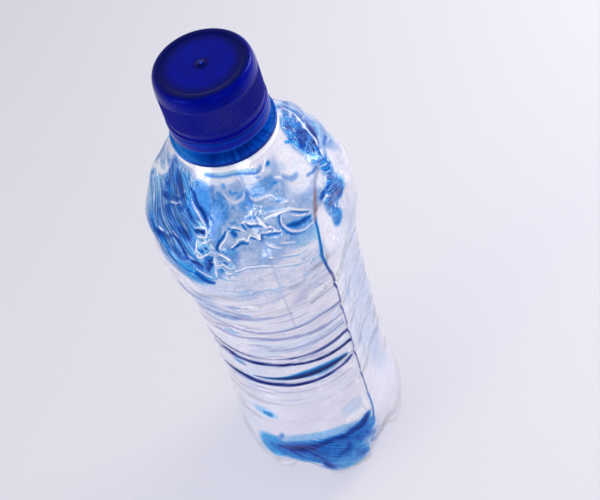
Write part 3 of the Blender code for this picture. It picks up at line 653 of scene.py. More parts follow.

# painted shade lines, in the same way
shadeAndSeamLines = {
    # painted shade in the ribs and along the lower crease, and the dark seams
    "wall": [
        (0.92, [0.5, 0.6, 0.6, 0.42, 0.3], [(-168, 72.6), (-140, 72), (-118, 71.6), (-90, 71), (-60, 71.8)]),
        (0.70, [0.2, 0.4, 0.8, 1.4, 1.8, 1.5, 0.9],
         [(-130, 76.2), (-115, 76.2), (-102, 76), (-90, 75.9), (-78, 75.6), (-66, 75.2)]),
        (0.96, [0.4, 0.4, 0.5, 0.65, 0.75],
         [(-168, 87.2), (-145, 85.4), (-125, 84.9), (-105, 84.3), (-92, 83.2), (-80, 82.2),
          (-59, 81.3)]),
        (0.74, [0.4, 0.4], [(-165, 92.8), (-145, 91.2), (-130, 89.5), (-115, 87.6), (-100, 86.5),
                            (-80, 86), (-57, 86)]),
        (0.42, [0.35, 0.4], [(-150, 99.6), (-120, 99.3), (-100, 99), (-85, 98.2), (-75, 97.5), (-57, 97.2)]),
        (0.46, [0.4, 0.45], [(-162, 109.2), (-145, 108.3), (-130, 106.6), (-115, 104.8), (-100, 104.3),
                             (-57, 103.6)]),
        (0.30, [0.35, 0.35], [(-150, 116), (-130, 113.6), (-112, 112.6), (-90, 112.4)]),
        (0.30, [0.4, 0.7], [(-112, 93.6), (-90, 93), (-60, 92.4)]),
        (0.20, [0.5, 0.5], [(-120, 67.5), (-90, 66.6), (-64, 66.8)]),
        (0.22, [0.35, 0.35], [(-118, 61.8), (-90, 60.8), (-62, 61.2)]),
        (0.16, [0.3, 0.3], [(-91, 168), (-91.4, 140), (-91, 104)]),
        (0.20, [0.3, 0.4], [(-119, 166), (-119.6, 158), (-119.8, 150)]),
        (0.75, [0.38, 0.42], [(-60, 30), (-58, 40), (-57.3, 50), (-57.2, 70), (-57, 90), (-56.8, 100),
                              (-57, 110)]),
        (0.90, [0.4, 0.42, 0.45], [(-56.9, 103), (-57, 110), (-59, 118), (-62, 125), (-63.4, 130)]),
        (0.85, [0.4, 0.4], [(-190, 170.9), (-95, 170.9), (10, 170.9)]),
        (0.45, [0.36, 0.36], [(-125, 168.6), (-110, 168.2), (-95, 168.2), (-84, 167.3), (-76, 166.5),
                              (-70, 167.4)]),
    ],
    # painted shade where folds of the shoulder lie on each other
    "shoulder": [
        (0.72, [0.4, 0.55, 0.55, 0.4],
         [(-140.5, 164.6), (-136, 163.2), (-133, 161.4), (-128, 159.6), (-125, 157.6), (-123.5, 156)]),
        (0.62, [0.7, 1.3, 0.9], [(-161, 166.4), (-156, 164.8), (-151, 162.8), (-148, 161.6)]),
        (0.60, [0.9, 1.3, 0.9], [(-147, 152.3), (-143, 151.8), (-138, 151)]),
        (0.70, [0.4, 0.55, 0.6, 0.5],
         [(-152, 149.6), (-146, 149.3), (-142, 148), (-139, 146), (-138.5, 144.8)]),
        (0.75, [0.8, 1.2, 0.8], [(-135, 144.5), (-132.5, 144), (-130.7, 142.4)]),
        (0.80, [0.6, 0.8, 0.8, 0.5], [(-133, 153.5), (-130, 153.8), (-128, 154.2), (-126.5, 154.6)]),
        (0.60, [0.4, 0.6, 0.6, 0.4], [(-135.5, 139.6), (-132, 138), (-129, 136.8), (-125, 136.6)]),
        (0.40, [1.4, 1.8, 1.4], [(-170, 168), (-169.5, 164), (-169, 160.5)]),
        (0.60, [0.9, 1.2, 0.8], [(-168, 158), (-165, 158.3), (-162.5, 158)]),
        (0.55, [0.4, 0.6, 0.4], [(-158, 159.6), (-153, 159.9), (-149, 160.6)]),
        (0.55, [0.7, 0.9, 0.6], [(-149, 158.8), (-146.5, 158.4), (-144, 159.6)]),
        (0.50, [0.7, 1.0, 0.7], [(-141, 160), (-138, 157.6), (-134.5, 156.3)]),
        (0.45, [0.9, 1.2, 0.9], [(-160, 156), (-154, 155), (-149, 153)]),
        (0.45, [0.8, 1.1, 0.8], [(-163, 148), (-158, 148), (-153, 148.4)]),
        (0.40, [0.8, 1.2, 0.8], [(-150, 146), (-145, 145.6), (-141, 144.6)]),
        (0.50, [0.8, 1.2, 0.9], [(-126, 146.4), (-125.6, 144), (-127.4, 141)]),
        (0.60, [0.5, 0.6, 0.5], [(-48, 150.8), (-43, 151.2), (-38, 150.7)]),
        (0.55, [0.7, 1.3, 1.1], [(-34, 148), (-32, 144.5), (-29, 141.5)]),
        (0.40, [0.6, 1.0, 0.8], [(-42, 147), (-40, 143.5), (-38.5, 140)]),
        (0.70, [0.8, 1.2], [(-25, 161.7), (-23, 161.3)]),
        (0.70, [0.9, 1.4, 1.0], [(-22, 162.2), (-18, 161.4), (-14, 160.8)]),
        (0.75, [0.9, 1.3, 0.9], [(-13, 162.6), (-10.5, 161.6), (-8.5, 160.6)]),
        (0.55, [0.5, 0.7], [(-22, 156.4), (-17, 156.6)]),
        (0.70, [0.5, 0.7, 0.5], [(-17, 167.5), (-14, 166), (-12, 164.8)]),
        (0.70, [0.9, 1.9, 1.9, 0.9], [(-8, 157.4), (-4, 157.6), (1, 157.6), (3.5, 157.4)]),
        (0.40, [0.6, 0.8, 0.6], [(-59, 162), (-55, 160.5), (-50, 160.3)]),
        (0.50, [0.4, 0.8, 0.4], [(-143, 83.6), (-139, 82.8), (-135, 82.2)]),
        (0.60, [0.35, 0.45, 0.35], [(-44, 157.6), (-38, 156.6), (-33, 156.4)]),
        (0.45, [0.5, 0.6, 0.5], [(-25, 155), (-15, 153.4), (-5, 152), (2, 151)]),
    ],
    # painted shade with soft edges, in the base, in the dent and at the left ends of the ribs
    "soft": [
        (0.34, [4.0, 6.0, 6.0, 4.0], [(-130, 27), (-112, 28.6), (-92, 29.6), (-70, 31)]),
        (0.62, [1.6, 2.2, 1.6], [(-134, 28.4), (-131, 27.5), (-128, 28)]),
        (0.82, [2.6, 4.0, 3.8, 2.6], [(-126, 27.4), (-121, 28.4), (-115, 29.4), (-110, 29.8)]),
        (0.72, [2.6, 2.2, 1.7, 1.6], [(-110, 30), (-103, 32.2), (-96, 33.6), (-90, 34), (-85, 33.4)]),
        (0.76, [1.6, 2.8, 3.0, 1.6], [(-83, 33.6), (-77, 34), (-71, 33.6), (-65, 36)]),
        (0.50, [2.2, 1.8, 1.4], [(-75, 32), (-70, 28), (-64, 24.8)]),
        (0.52, [2.6, 2.2, 1.6], [(-112, 29), (-109, 26), (-106, 23)]),
        (0.62, [1.2, 1.8, 1.6, 1.0], [(-84, 28.8), (-84.5, 26.4), (-88, 24.6), (-92, 23.8)]),
        (0.36, [1.2, 1.7, 1.2], [(-99, 29.4), (-95, 28), (-95, 25.6)]),
        (0.75, [1.4, 2.2, 1.4], [(-104, 20.6), (-102, 17), (-99.5, 14)]),
        (0.34, [2.0, 2.4, 2.0], [(-78, 20.6), (-77.4, 18), (-77, 15.6)]),
        (0.40, [1.0, 1.4, 1.0], [(-132, 33.6), (-129, 36), (-127.8, 38.6)]),
        (0.20, [2.0, 3.0, 2.0], [(-86, 119), (-76, 123.6), (-64, 124)]),
        (0.20, [1.6, 2.2, 1.6], [(-82, 115.6), (-74, 115.4), (-66, 116.6)]),
        (0.34, [1.4, 2.4, 1.4], [(-168, 73), (-152, 72.6), (-138, 72.2)]),
        (0.26, [1.2, 2.0, 1.2], [(-170, 86.6), (-156, 86), (-142, 85)]),
        (0.22, [1.2, 2.0, 1.0], [(-170, 93), (-156, 92.2), (-140, 90.6)]),
        (0.46, [1.0, 1.6, 1.0], [(-140, 29), (-137, 26), (-132, 23.4)]),
        (0.75, [0.3, 0.6, 1.1, 1.8, 2.2, 1.9, 1.0],
         [(-130, 76.2), (-115, 76.2), (-102, 76), (-90, 75.9), (-78, 75.6), (-66, 75.2)]),
    ],
}

# the sharp crease with painted blue shade and a brown line along it, and painted highlights: strength,
# widths in mm, places
seams = {
    "blue": [
        (0.92, [0.35, 0.55, 0.62, 0.5, 0.4],
         [(-63.4, 130), (-64.3, 134), (-63, 139), (-60.5, 144), (-57.5, 147)]),
    ],
    "brown": [
        (1.0, [0.4, 0.75, 0.7, 0.4], [(-58.5, 146.8), (-55, 148.8), (-52, 151.4), (-47, 153.4)]),
        (0.45, [0.5, 0.4], [(-47, 153.4), (-40, 155), (-33, 155.8), (-28, 156)]),
        (0.30, [0.3, 0.3], [(-62, 125), (-60, 119), (-58, 114)]),
    ],
    # painted highlights, white patches: strength, then azimuth, height, half width in degrees, half height
    # in mm, tilt
    "glints": [
        (0.85, -62, 44, 3.2, 9, 0), (0.75, -62.5, 57, 2.6, 4, 0), (0.7, -62, 67, 2.6, 4, 0),
        (0.7, -61, 77.5, 3, 3, 0), (0.5, -61, 84, 2.5, 2, 0), (0.45, -60.5, 92, 2.5, 2.5, 0),
        (0.95, -74, 119.4, 7, 2.4, -20), (0.90, -66, 120, 4, 1.8, -20),
        (0.90, -73, 40.5, 12, 3.4, 6), (0.60, -69.5, 16, 4.5, 5, 0),
        (0.62, -110, 167, 18, 1.7, 0), (0.60, -78, 165.6, 22, 1.9, -3), (0.5, -140, 166.8, 5, 2.2, 0),
        (0.45, -116, 155, 6, 1.6, 0), (0.45, -118, 151, 3, 2.6, 0), (0.4, -99, 155, 18, 3.4, -3),
        (0.60, -50, 158.8, 18, 5, 0), (0.55, -42, 166, 16, 4, 0), (0.80, -38, 153.6, 9, 2.6, 4),
        (0.55, 24, 157, 20, 14, 0), (0.50, 2, 138, 15, 14, 0), (0.50, -172, 124, 22, 18, 0),
        (0.5, -104, 147, 12, 3, 0), (0.45, -153, 168, 10, 1.6, 4), (0.60, -21, 144, 5, 5, 0),
        (0.34, -20, 134, 8, 12, 0), (0.34, -26, 90, 24, 50, 0),
    ],
    # painted highlight lines: under the ring and along the ribs
    "lines": [
        (0.95, [0.55, 0.55], [(-190, 169.6), (-130, 169.7), (-95, 169.7), (-60, 169.7), (-20, 169.7),
                              (10, 169.7)]),
        (0.55, [0.4, 0.4, 0.4], [(-150, 70.6), (-115, 70), (-90, 69.2), (-62, 69.8)]),
        (0.50, [0.4, 0.5, 0.5], [(-140, 98), (-110, 97.6), (-85, 96.6), (-60, 95.4)]),
        (0.45, [0.4, 0.5, 0.5], [(-165, 89.6), (-140, 88), (-115, 86.2), (-92, 84.8), (-60, 83.6)]),
        (0.45, [0.4, 0.5, 0.5], [(-120, 80.2), (-95, 79.6), (-66, 79)]),
        (0.34, [0.5, 0.5, 0.5], [(-150, 64.6), (-115, 64), (-90, 63.4), (-64, 63.4)]),
        (0.35, [0.5, 0.6], [(-140, 107), (-110, 102), (-80, 101.4), (-60, 101)]),
        (0.35, [0.5, 0.7, 0.5], [(-118, 131.6), (-100, 132.4), (-84, 131), (-70, 129.6)]),
        (0.30, [0.5, 0.7, 0.5], [(-112, 127), (-96, 127.6), (-82, 126.4)]),
        (0.30, [0.4, 0.6, 0.4], [(-140, 128), (-128, 126.6), (-114, 127)]),
    ],
}

# short thin strokes strewn over a stretch of the wall, pale ones painted highlights, blue and dark ones
# painted shade:
# how many, azimuth from and to, height from and to, fall in mm per degree, length in degrees, width in mm,
# strength
strewn = {
    "pale": [
        (20, -172, -122, 139, 168, 0.36, 11, 0.36, 0.9), (30, -122, -66, 128, 147, -0.02, 13, 0.36, 0.55),
        (12, -30, 14, 155, 168, 0.3, 8, 0.40, 0.8), (9, -46, -26, 139, 150, 0.9, 6, 0.40, 0.7),
        (26, -156, -116, 108, 128, 0.03, 14, 0.36, 0.6), (18, -118, -70, 156, 165, 0.15, 6, 0.40, 0.4),
        (26, -54, 0, 50, 130, -0.5, 16, 1.20, 0.4), (22, -135, -64, 62, 128, 0.02, 20, 0.40, 0.45),
    ],
    "blue": [
        (26, -172, -122, 139, 168, 0.36, 11, 0.45, 0.9), (22, -122, -66, 128, 147, -0.02, 12, 0.40, 0.35),
        (20, -116, -72, 156, 166, 0.15, 6, 0.50, 0.45), (14, -46, -26, 139, 150, 0.9, 6, 0.50, 0.9),
        (14, -30, 14, 155, 168, 0.3, 8, 0.60, 0.9), (16, -54, 0, 50, 130, -0.5, 16, 1.00, 0.12),
        (22, -135, -64, 17, 34, 0.2, 9, 0.60, 0.7),
    ],
    "shadeAndSeam": [
        (34, -160, -116, 104, 131, 0.03, 13, 0.36, 0.5), (16, -120, -62, 84, 128, 0.02, 22, 0.36, 0.3),
        (14, -150, -64, 66, 100, 0.02, 24, 0.36, 0.3),
    ],
}


def streaks(rows):
    chance = random.Random(7)
    lines = []
    for count, left, right, low, high, fall, length, width, strength in rows:
        for _ in range(count):
            at, height = chance.uniform(left, right), chance.uniform(low, high)
            half, sag = length * chance.uniform(0.25, 0.6), chance.uniform(-0.7, 0.7)
            places = [(at - half, height + fall * half), (at, height + sag),
                      (at + half, height - fall * half)]
            lines.append((strength * chance.uniform(0.5, 1.0), [0.6 * width, width, 0.6 * width], places))
    return lines


def linesOf(places, lines, soft=False):
    share = np.zeros(len(places))
    for strength, widths, points in lines:
        stroke = strokeShare(places, points, widths)
        share = np.maximum(share, strength * (stroke if soft else smoothStep(1.5 * stroke)))
    return share


def patchesOf(azimuth, z, patches):
    share = np.zeros(len(z))
    for strength, *where in patches:
        share = np.maximum(share, strength * areaShare(azimuth, z, *where))
    return share


def onlyOn(chosen, values):
    # 0 on all other points
    spreadOut = np.zeros(len(chosen))
    spreadOut[chosen] = values
    return spreadOut


def placeColumns(radius, azimuth, z):
    # closer together in front, one of them on the crease and those beside it leaning with it
    b = bottle
    azimuth = azimuth - b["denser"] * np.sin(azimuth - b["denserAt"])
    columns = np.unique(np.round(azimuth[radius > 20 * mm], 6))
    onCrease = columns[np.argmin(np.abs(turnFrom(columns, b["creaseAzimuth"])))]
    azimuth = azimuth + turnFrom(b["creaseAzimuth"], onCrease)
    lean = np.radians(np.interp(z / mm, *zip(*b["creaseLean"])))
    off = np.clip(turnFrom(azimuth, b["creaseAzimuth"]) / b["creaseReach"], -1, 1)
    return azimuth + lean * np.cos(0.5 * math.pi * off) ** 2


def dropFeet(radius, azimuth, z):
    # out of the domed bottom
    b = bottle
    low = (z < b["baseHeight"] + 0.9 * mm) & (radius < b["baseRadius"] - 0.01 * mm)
    angle = np.arctan2(radius / b["baseRadius"],
                       (b["baseHeight"] - z) / (b["baseHeight"] - b["domeClearance"]))
    angle = np.clip(angle, 0, math.pi / 2)
    dome, foot, share = domePoint(angle), footPoint(angle), footShare(azimuth)
    return (np.where(low, radius + share * (foot[0] - dome[0]), radius),
            np.where(low, z + share * (foot[1] - dome[1]), z))


def readFolds(azimuth, z, wall, skin):
    # how much of each kind of fold lies at each point
    places = roundWall(azimuth[skin], z[skin])
    level, stir, slants = foldLevels(azimuth, z)
    pale = onlyOn(skin, strokesAround(places, folds["pale"]))
    flank = strokesOf(places + [0, 0, folds["flankDrop"]], folds["pale"]) * (1 - pale[skin])
    return {
        "places": places, "level": level, "stir": stir, "slants": slants, "pale": pale,
        "waves": onlyOn(wall, foldWaves(azimuth[wall], z[wall], slants[wall])),
        "dark": onlyOn(skin, strokesAround(places, folds["dark"])),
        "flank": onlyOn(skin, flank),                    # painted shade on the side of a crease away from the light
        "highlightLines": onlyOn(skin, linesOf(places, seams["lines"])),
        "thinPale": onlyOn(skin, linesOf(places, streaks(strewn["pale"]))),
        "thinBlue": onlyOn(skin, linesOf(places, streaks(strewn["blue"]))),
    }


def pushedIn(azimuth, z, inner, found):
    # how far the squeezed and folded wall lies inside the round one
    b = bottle
    broad = np.maximum(found["stir"] - folds["calm"], folds["least"]) * found["waves"] * (1 - 0.6 * inner)
    return (b["panelDepth"] * panelShare(azimuth, z) - b["creaseFold"] * creaseShare(azimuth, z)
            + ribDepth(azimuth, z) + dentDepth(azimuth, z)
            + wrinkleDepth(azimuth, z) + valleyDepth(azimuth, z)
            - folds["height"] * broad
            - folds["ridge"] * np.maximum(found["pale"], folds["thinShare"] * found["thinPale"])
            + folds["groove"] * np.maximum(found["dark"], folds["thinShare"] * found["thinBlue"]))


# how strongly the points are marked for the material
shades = {
    "thinBlue": 0.8, "dark": 0.9, "flank": 0.55, "glints": 0.8, "waves": 0.5, "neck": 0.16,
    "crowdFrom": 0.08, "crowdSpan": 0.36,                # the stir from which folds crowd
    # the support ring in painted light and shade: deep in front, lighter to both sides, darkest at its lower
    # edge, with thin rays
    "ring": 0.74, "ringLeft": 0.56, "ringRight": 0.20, "ringEdge": 0.4, "ringRays": 0.25,
    "ringMiddle": math.radians(-85),
}


def ringShade(azimuth, z):
    turned = turnFrom(azimuth, shades["ringMiddle"])
    shade = shades["ring"] - shades["ringLeft"] * smoothStep((-turned - 0.6) / 0.7)
    shade -= shades["ringRight"] * smoothStep((turned - 0.7) / 0.7)
    shade += shades["ringEdge"] * smoothStep((bottle["ringBottom"] + 1.0 * mm - z) / (0.5 * mm))
    rays = np.array([noise.noise(Vector((math.cos(a), math.sin(a), 0.0)) * 14.0) for a in azimuth])
    upTo = smoothStep((bottle["beadHeight"] - 1 * mm - z) / (1.5 * mm))
    return np.clip(shade + shades["ringRays"] * rays, 0.1, 1.0) * upTo


def noteShades(piece, azimuth, z, neck, skin, found):
    # what the material reads at each point
    places, skinAzimuth, skinZ = found["places"], azimuth[skin], z[skin]
    lines = np.maximum(linesOf(places, blues["lines"]), linesOf(places, seams["blue"]))
    tintAndShade = onlyOn(skin, np.maximum(lines, patchesOf(skinAzimuth, skinZ, blues["patches"])))
    tintAndShade = np.maximum(tintAndShade,
                      np.maximum(shades["thinBlue"] * found["thinBlue"], shades["dark"] * found["dark"]))
    tintAndShade = np.maximum(tintAndShade, shades["flank"] * found["flank"] * smoothStep((z - 128 * mm) / (12 * mm)))
    tintAndShade = np.where(neck, shades["neck"], tintAndShade)
    brownLine = onlyOn(skin, linesOf(places, seams["brown"]))
    sharp = linesOf(places, shadeAndSeamLines["wall"] + shadeAndSeamLines["shoulder"] + streaks(strewn["shadeAndSeam"]))
    shadeAndSeam = onlyOn(skin, np.maximum(sharp, linesOf(places, shadeAndSeamLines["soft"], soft=True)))
    # painted highlights: the glints, and with them the pale creases, lines and streaks
    glints = onlyOn(skin, shades["glints"] * patchesOf(skinAzimuth, skinZ, seams["glints"]))
    pale = np.maximum(np.maximum(found["pale"], found["highlightLines"]),
                      np.maximum(found["thinPale"] * (1 - found["thinBlue"]), glints * (1 - tintAndShade)))
    crowd = smoothStep((found["stir"] - shades["crowdFrom"]) / shades["crowdSpan"])
    noteOnPoints(piece, "ring", np.where(neck, ringShade(azimuth, z), 0.0))
    noteOnPoints(piece, "fold",
                 np.where(skin, found["level"] + shades["waves"] * found["stir"] * found["waves"], 0.0))
    noteOnPoints(piece, "shadeAndSeam", shadeAndSeam)
    noteOnPoints(piece, "lying", np.where(skin, between(z, 42 * mm, 132 * mm, 8 * mm, 14 * mm), 0.0))
    noteOnPoints(piece, "stir", np.where(skin, found["stir"], 0.0))
    noteOnPoints(piece, "crowd", np.where(skin & (z > 60 * mm), crowd, 0.0))
    noteOnPoints(piece, "slant", np.where(skin, found["slants"], 0.0))
    noteOnPoints(piece, "tintAndShade", tintAndShade)
    noteOnPoints(piece, "pale", pale * (1 - brownLine) * (1 - shadeAndSeam))
    noteOnPoints(piece, "brownLine", brownLine)
    drawn = piece.data.attributes.new("drawn", "FLOAT_VECTOR", "POINT")
    drawn.data.foreach_set("vector", slantedPlaces(azimuth, z).astype(np.float32).ravel())


def makeBottle():
    b = bottle
    outside = bottleOutside()
    inside = insetOutline(outside)
    inside = inside[:-1:3] + inside[-1:]                # a third of the rows will do there
    piece = drawOutline("bottle_shell", inside + boreInside()[::-1] + neckOutside()[::-1] + outside[::-1])
    innerSide = np.zeros(len(piece.data.vertices))
    innerSide[:len(inside)] = 1.0
    noteOnPoints(piece, "inner", innerSide)
    spinOutline(piece, b["columns"], b["frontFoot"])
    inner = takeNote(piece, "inner")
    points = readPoints(piece)
    radius, azimuth = polar(points)
    azimuth = placeColumns(radius, azimuth, points[:, 2])
    radius, z = dropFeet(radius, azimuth, points[:, 2])
    neck = z > b["ringBottom"] - 0.5 * mm
    wall, skin = ~neck, ~neck & (inner < 0.5)
    found = readFolds(azimuth, z, wall, skin)
    radius = np.where(wall, radius - pushedIn(azimuth, z, inner, found), radius)
    over = np.maximum(0.0, radius - b["softLimit"]) / b["softSpan"]
    radius = np.where(wall, np.minimum(radius, b["softLimit"] + b["softSpan"] * np.tanh(over)), radius)
    onThread = (z > b["beadHeight"] + 1.6 * mm) & (radius > b["threadWall"] - 0.05 * mm)
    radius = np.where(onThread, radius + threadRidge(azimuth, z, b["threadRidge"], b["threadStart"]), radius)
    writePoints(piece, unpolar(radius, azimuth, np.maximum(z, 0.0)))
    noteShades(piece, azimuth, z, neck, skin, found)
    shadeSmooth(piece, 45)
    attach(piece, "bottle")
    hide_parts("bottle")
    print("bottle shell:", len(piece.data.polygons), "faces")
    return piece


# what the closure's blue is multiplied with: as it is, and where shade is painted
full, paintedShade = (1.0, 1.0, 1.0), (0.7, 0.6, 0.34)

cap = {
    "columns": 720 if fine else 480, "innerRows": 48 if fine else 30,
    "bottom": 180.5 * mm, "inner": 14.1 * mm, "ceiling": 196.6 * mm, "top": 198.0 * mm,
    "skirt": 15.6 * mm, "thread": 0.85 * mm,
    "knurls": 120, "knurlBottom": 183.6 * mm, "knurlTop": 193.6 * mm, "knurlOuter": 15.5 * mm,
    "knurlDepth": 0.25 * mm,
    "rimInner": 13.6 * mm, "discDrop": 0.18 * mm, "gateTop": 198.2 * mm,
    "blue": (0.0003, 0.003, 0.26),
    # mm from the axis, and what the blue is multiplied with there: a painted highlight dot in the middle
    # with painted shade round it, and painted shade at the rim
    "shades": [(0.0, (120.0, 50.0, 3.4)), (0.4, (20.0, 10.0, 2.0)), (0.5, full), (0.7, paintedShade), (1.4, paintedShade),
               (3.2, full), (8.6, full), (11.6, paintedShade), (13.4, paintedShade), (14.6, full), (16.0, full)],
}


def makeCap():
    c = cap
    inner, ceiling, bottom, skirt, top = c["inner"], c["ceiling"], c["bottom"], c["skirt"], c["top"]
    low, high, outer, disc = c["knurlBottom"], c["knurlTop"], c["knurlOuter"], c["top"] - c["discDrop"]
    points = [(0.0, ceiling), (inner - 0.8 * mm, ceiling)]
    roundTo(points, inner, ceiling - 0.8 * mm, inner, ceiling, 4)
    points += [(inner, z) for z in spread(ceiling - 1.6 * mm, bottom + 0.8 * mm, c["innerRows"])]
    # the skirt's edge
    roundTo(points, inner + 0.4 * mm, bottom, inner, bottom + 0.1 * mm, 3)
    points.append((skirt - 0.4 * mm, bottom))
    roundTo(points, skirt + 0.05 * mm, bottom + 0.5 * mm, skirt + 0.05 * mm, bottom, 4)
    points.append((skirt + 0.05 * mm, bottom + 0.9 * mm))
    roundTo(points, skirt - 0.35 * mm, bottom + 1.6 * mm, skirt + 0.05 * mm, bottom + 1.5 * mm, 5)
    points.append((skirt - 0.35 * mm, low - 0.6 * mm))
    # the knurled part
    points += [(outer - 0.2 * mm, low - 0.1 * mm), (outer, low + 0.2 * mm), (outer, low + 0.7 * mm)]
    points += [(outer, z) for z in spread(low + 2 * mm, high - 1.6 * mm, 5)]
    points += [(outer, high - 0.6 * mm), (outer - 0.02 * mm, high - 0.1 * mm),
               (outer - 0.05 * mm, high + 0.3 * mm)]
    # the rim, the disc and the gate mark
    points.append((outer - 0.15 * mm, high + 1.2 * mm))
    roundTo(points, c["rimInner"], top, outer - 0.4 * mm, top - 0.1 * mm, 14)
    points.append((12.4 * mm, top - 0.02 * mm))
    roundTo(points, 11.6 * mm, disc, 12.0 * mm, top - 0.16 * mm, 5)
    points += [(radius * mm, disc) for radius in (9.0, 6.0, 3.5, 2.2, 1.4)]
    roundTo(points, 0.5 * mm, c["gateTop"], 0.75 * mm, c["gateTop"] - 0.02 * mm, 5)
    points.append((0.0, c["gateTop"] - 0.02 * mm))
    piece = drawOutline("cap_shell", points)
    spinOutline(piece, c["columns"])
    place = readPoints(piece)
    radius, azimuth = polar(place)
    z = place[:, 2]
    window = between(z, low, high, 0.6 * mm, 0.6 * mm) * (radius > inner + 0.6 * mm)
    groove = (0.5 - 0.5 * np.cos(c["knurls"] * azimuth)) ** 0.8
    radius = radius - c["knurlDepth"] * groove * window
    # its thread runs half a pitch below the neck's
    start = bottle["threadStart"] - bottle["threadPitch"] / 2
    onThread = np.abs(radius - inner) < 0.03 * mm
    radius = np.where(onThread, radius - threadRidge(azimuth, z, c["thread"], start), radius)
    writePoints(piece, unpolar(radius, azimuth, z))
    shadeSmooth(piece, 50)
    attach(piece, "cap")
    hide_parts("screw_cap")
    print("cap:", len(piece.data.polygons), "faces")
    return piece


band = {
    "columns": 240, "bottom": 176.6 * mm, "top": 180.2 * mm, "radius": 15.6 * mm,
    "flap": 13.45 * mm, "flapTop": 177.7 * mm,
    "blue": (0.0003, 0.012, 0.34),
    # mm above the ground, and what the blue is multiplied with there: painted highlights at the lower edge
    # and the top
    "shades": [(176.4, (20.0, 10.0, 2.2)), (176.9, (10.0, 7.0, 1.9)), (177.5, full), (179.4, full),
               (180.2, (2.0, 4.0, 1.5))],
}


def makeBand():
    d = band
    side, radius, bottom, top = bottle["beadRadius"] + 0.4 * mm, d["radius"], d["bottom"], d["top"]
    points = [(side, d["flapTop"]), (side, top - 0.2 * mm)]
    roundTo(points, side + 0.25 * mm, top, side, top, 3)
    points.append((radius - 0.4 * mm, top))
    roundTo(points, radius, top - 0.4 * mm, radius, top, 4)
    points += [(radius, bottom + 1.5 * mm), (radius, bottom + 0.5 * mm)]
    roundTo(points, radius - 0.5 * mm, bottom, radius, bottom, 4)
    points.append((side, bottom))
    # the flap that catches under the neck's bead
    points += [(d["flap"], d["flapTop"] - 0.7 * mm), (d["flap"], d["flapTop"]), (side, d["flapTop"])]
    piece = drawOutline("band_ring", points[::-1])
    spinOutline(piece, d["columns"])
    shadeSmooth(piece, 40)
    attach(piece, "bottle")
    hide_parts("tamper_band")
    print("band:", len(piece.data.polygons), "faces")
    return piece


def newMaterial(name):
    material = bpy.data.materials.new(name)
    material.use_nodes = True
    tree = material.node_tree
    return material, tree, tree.nodes["Principled BSDF"]


def addNode(tree, kind, **values):
    node = tree.nodes.new(kind)
    for key, value in values.items():
        setattr(node, key, value)
    return node


def feed(tree, source, socket):
    # a number, a colour or another node's output
    if isinstance(source, bpy.types.NodeSocket):
        tree.links.new(source, socket)
    elif isinstance(source, tuple):
        socket.default_value = (*source, 1.0)
    else:
        socket.default_value = source


def ramp(tree, source, stops):
    node = addNode(tree, "ShaderNodeValToRGB")
    elements = node.color_ramp.elements
    while len(elements) < len(stops):
        elements.new(0.5)
    for element, (place, colour) in zip(elements, stops):
        element.position = place
        element.color = (*colour, 1.0)
    feed(tree, source, node.inputs["Fac"])
    return node.outputs["Color"]


def calculate(tree, operation, a, b=0.0):
    node = addNode(tree, "ShaderNodeMath", operation=operation)
    feed(tree, a, node.inputs[0])
    feed(tree, b, node.inputs[1])
    return node.outputs["Value"]


def times(tree, a, b):
    return calculate(tree, "MULTIPLY", a, b)


def larger(tree, a, b):
    return calculate(tree, "MAXIMUM", a, b)


def blendColours(tree, share, a, b, how="MIX"):
    node = addNode(tree, "ShaderNodeMix", data_type="RGBA", blend_type=how)
    feed(tree, share, node.inputs["Factor"])
    feed(tree, a, node.inputs[6])
    feed(tree, b, node.inputs[7])
    return node.outputs[2]


def blendNumbers(tree, share, a, b):
    node = addNode(tree, "ShaderNodeMix", data_type="FLOAT")
    feed(tree, share, node.inputs[0])
    feed(tree, a, node.inputs[2])
    feed(tree, b, node.inputs[3])
    return node.outputs[0]


def noted(tree, name, output="Fac"):
    return addNode(tree, "ShaderNodeAttribute", attribute_name=name).outputs[output]


def noiseOf(tree, place, scale, detail, distortion=0.0):
    node = addNode(tree, "ShaderNodeTexNoise")
    node.inputs["Scale"].default_value = scale
    node.inputs["Detail"].default_value = detail
    node.inputs["Distortion"].default_value = distortion
    feed(tree, place, node.inputs["Vector"])
    return node.outputs["Fac"]


def range01(tree, value, low, high, toLow, toHigh):
    node = addNode(tree, "ShaderNodeMapRange")
    for name, number in zip(("From Min", "From Max", "To Min", "To Max"), (low, high, toLow, toHigh)):
        node.inputs[name].default_value = number
    feed(tree, value, node.inputs["Value"])
    return node.outputs["Result"]


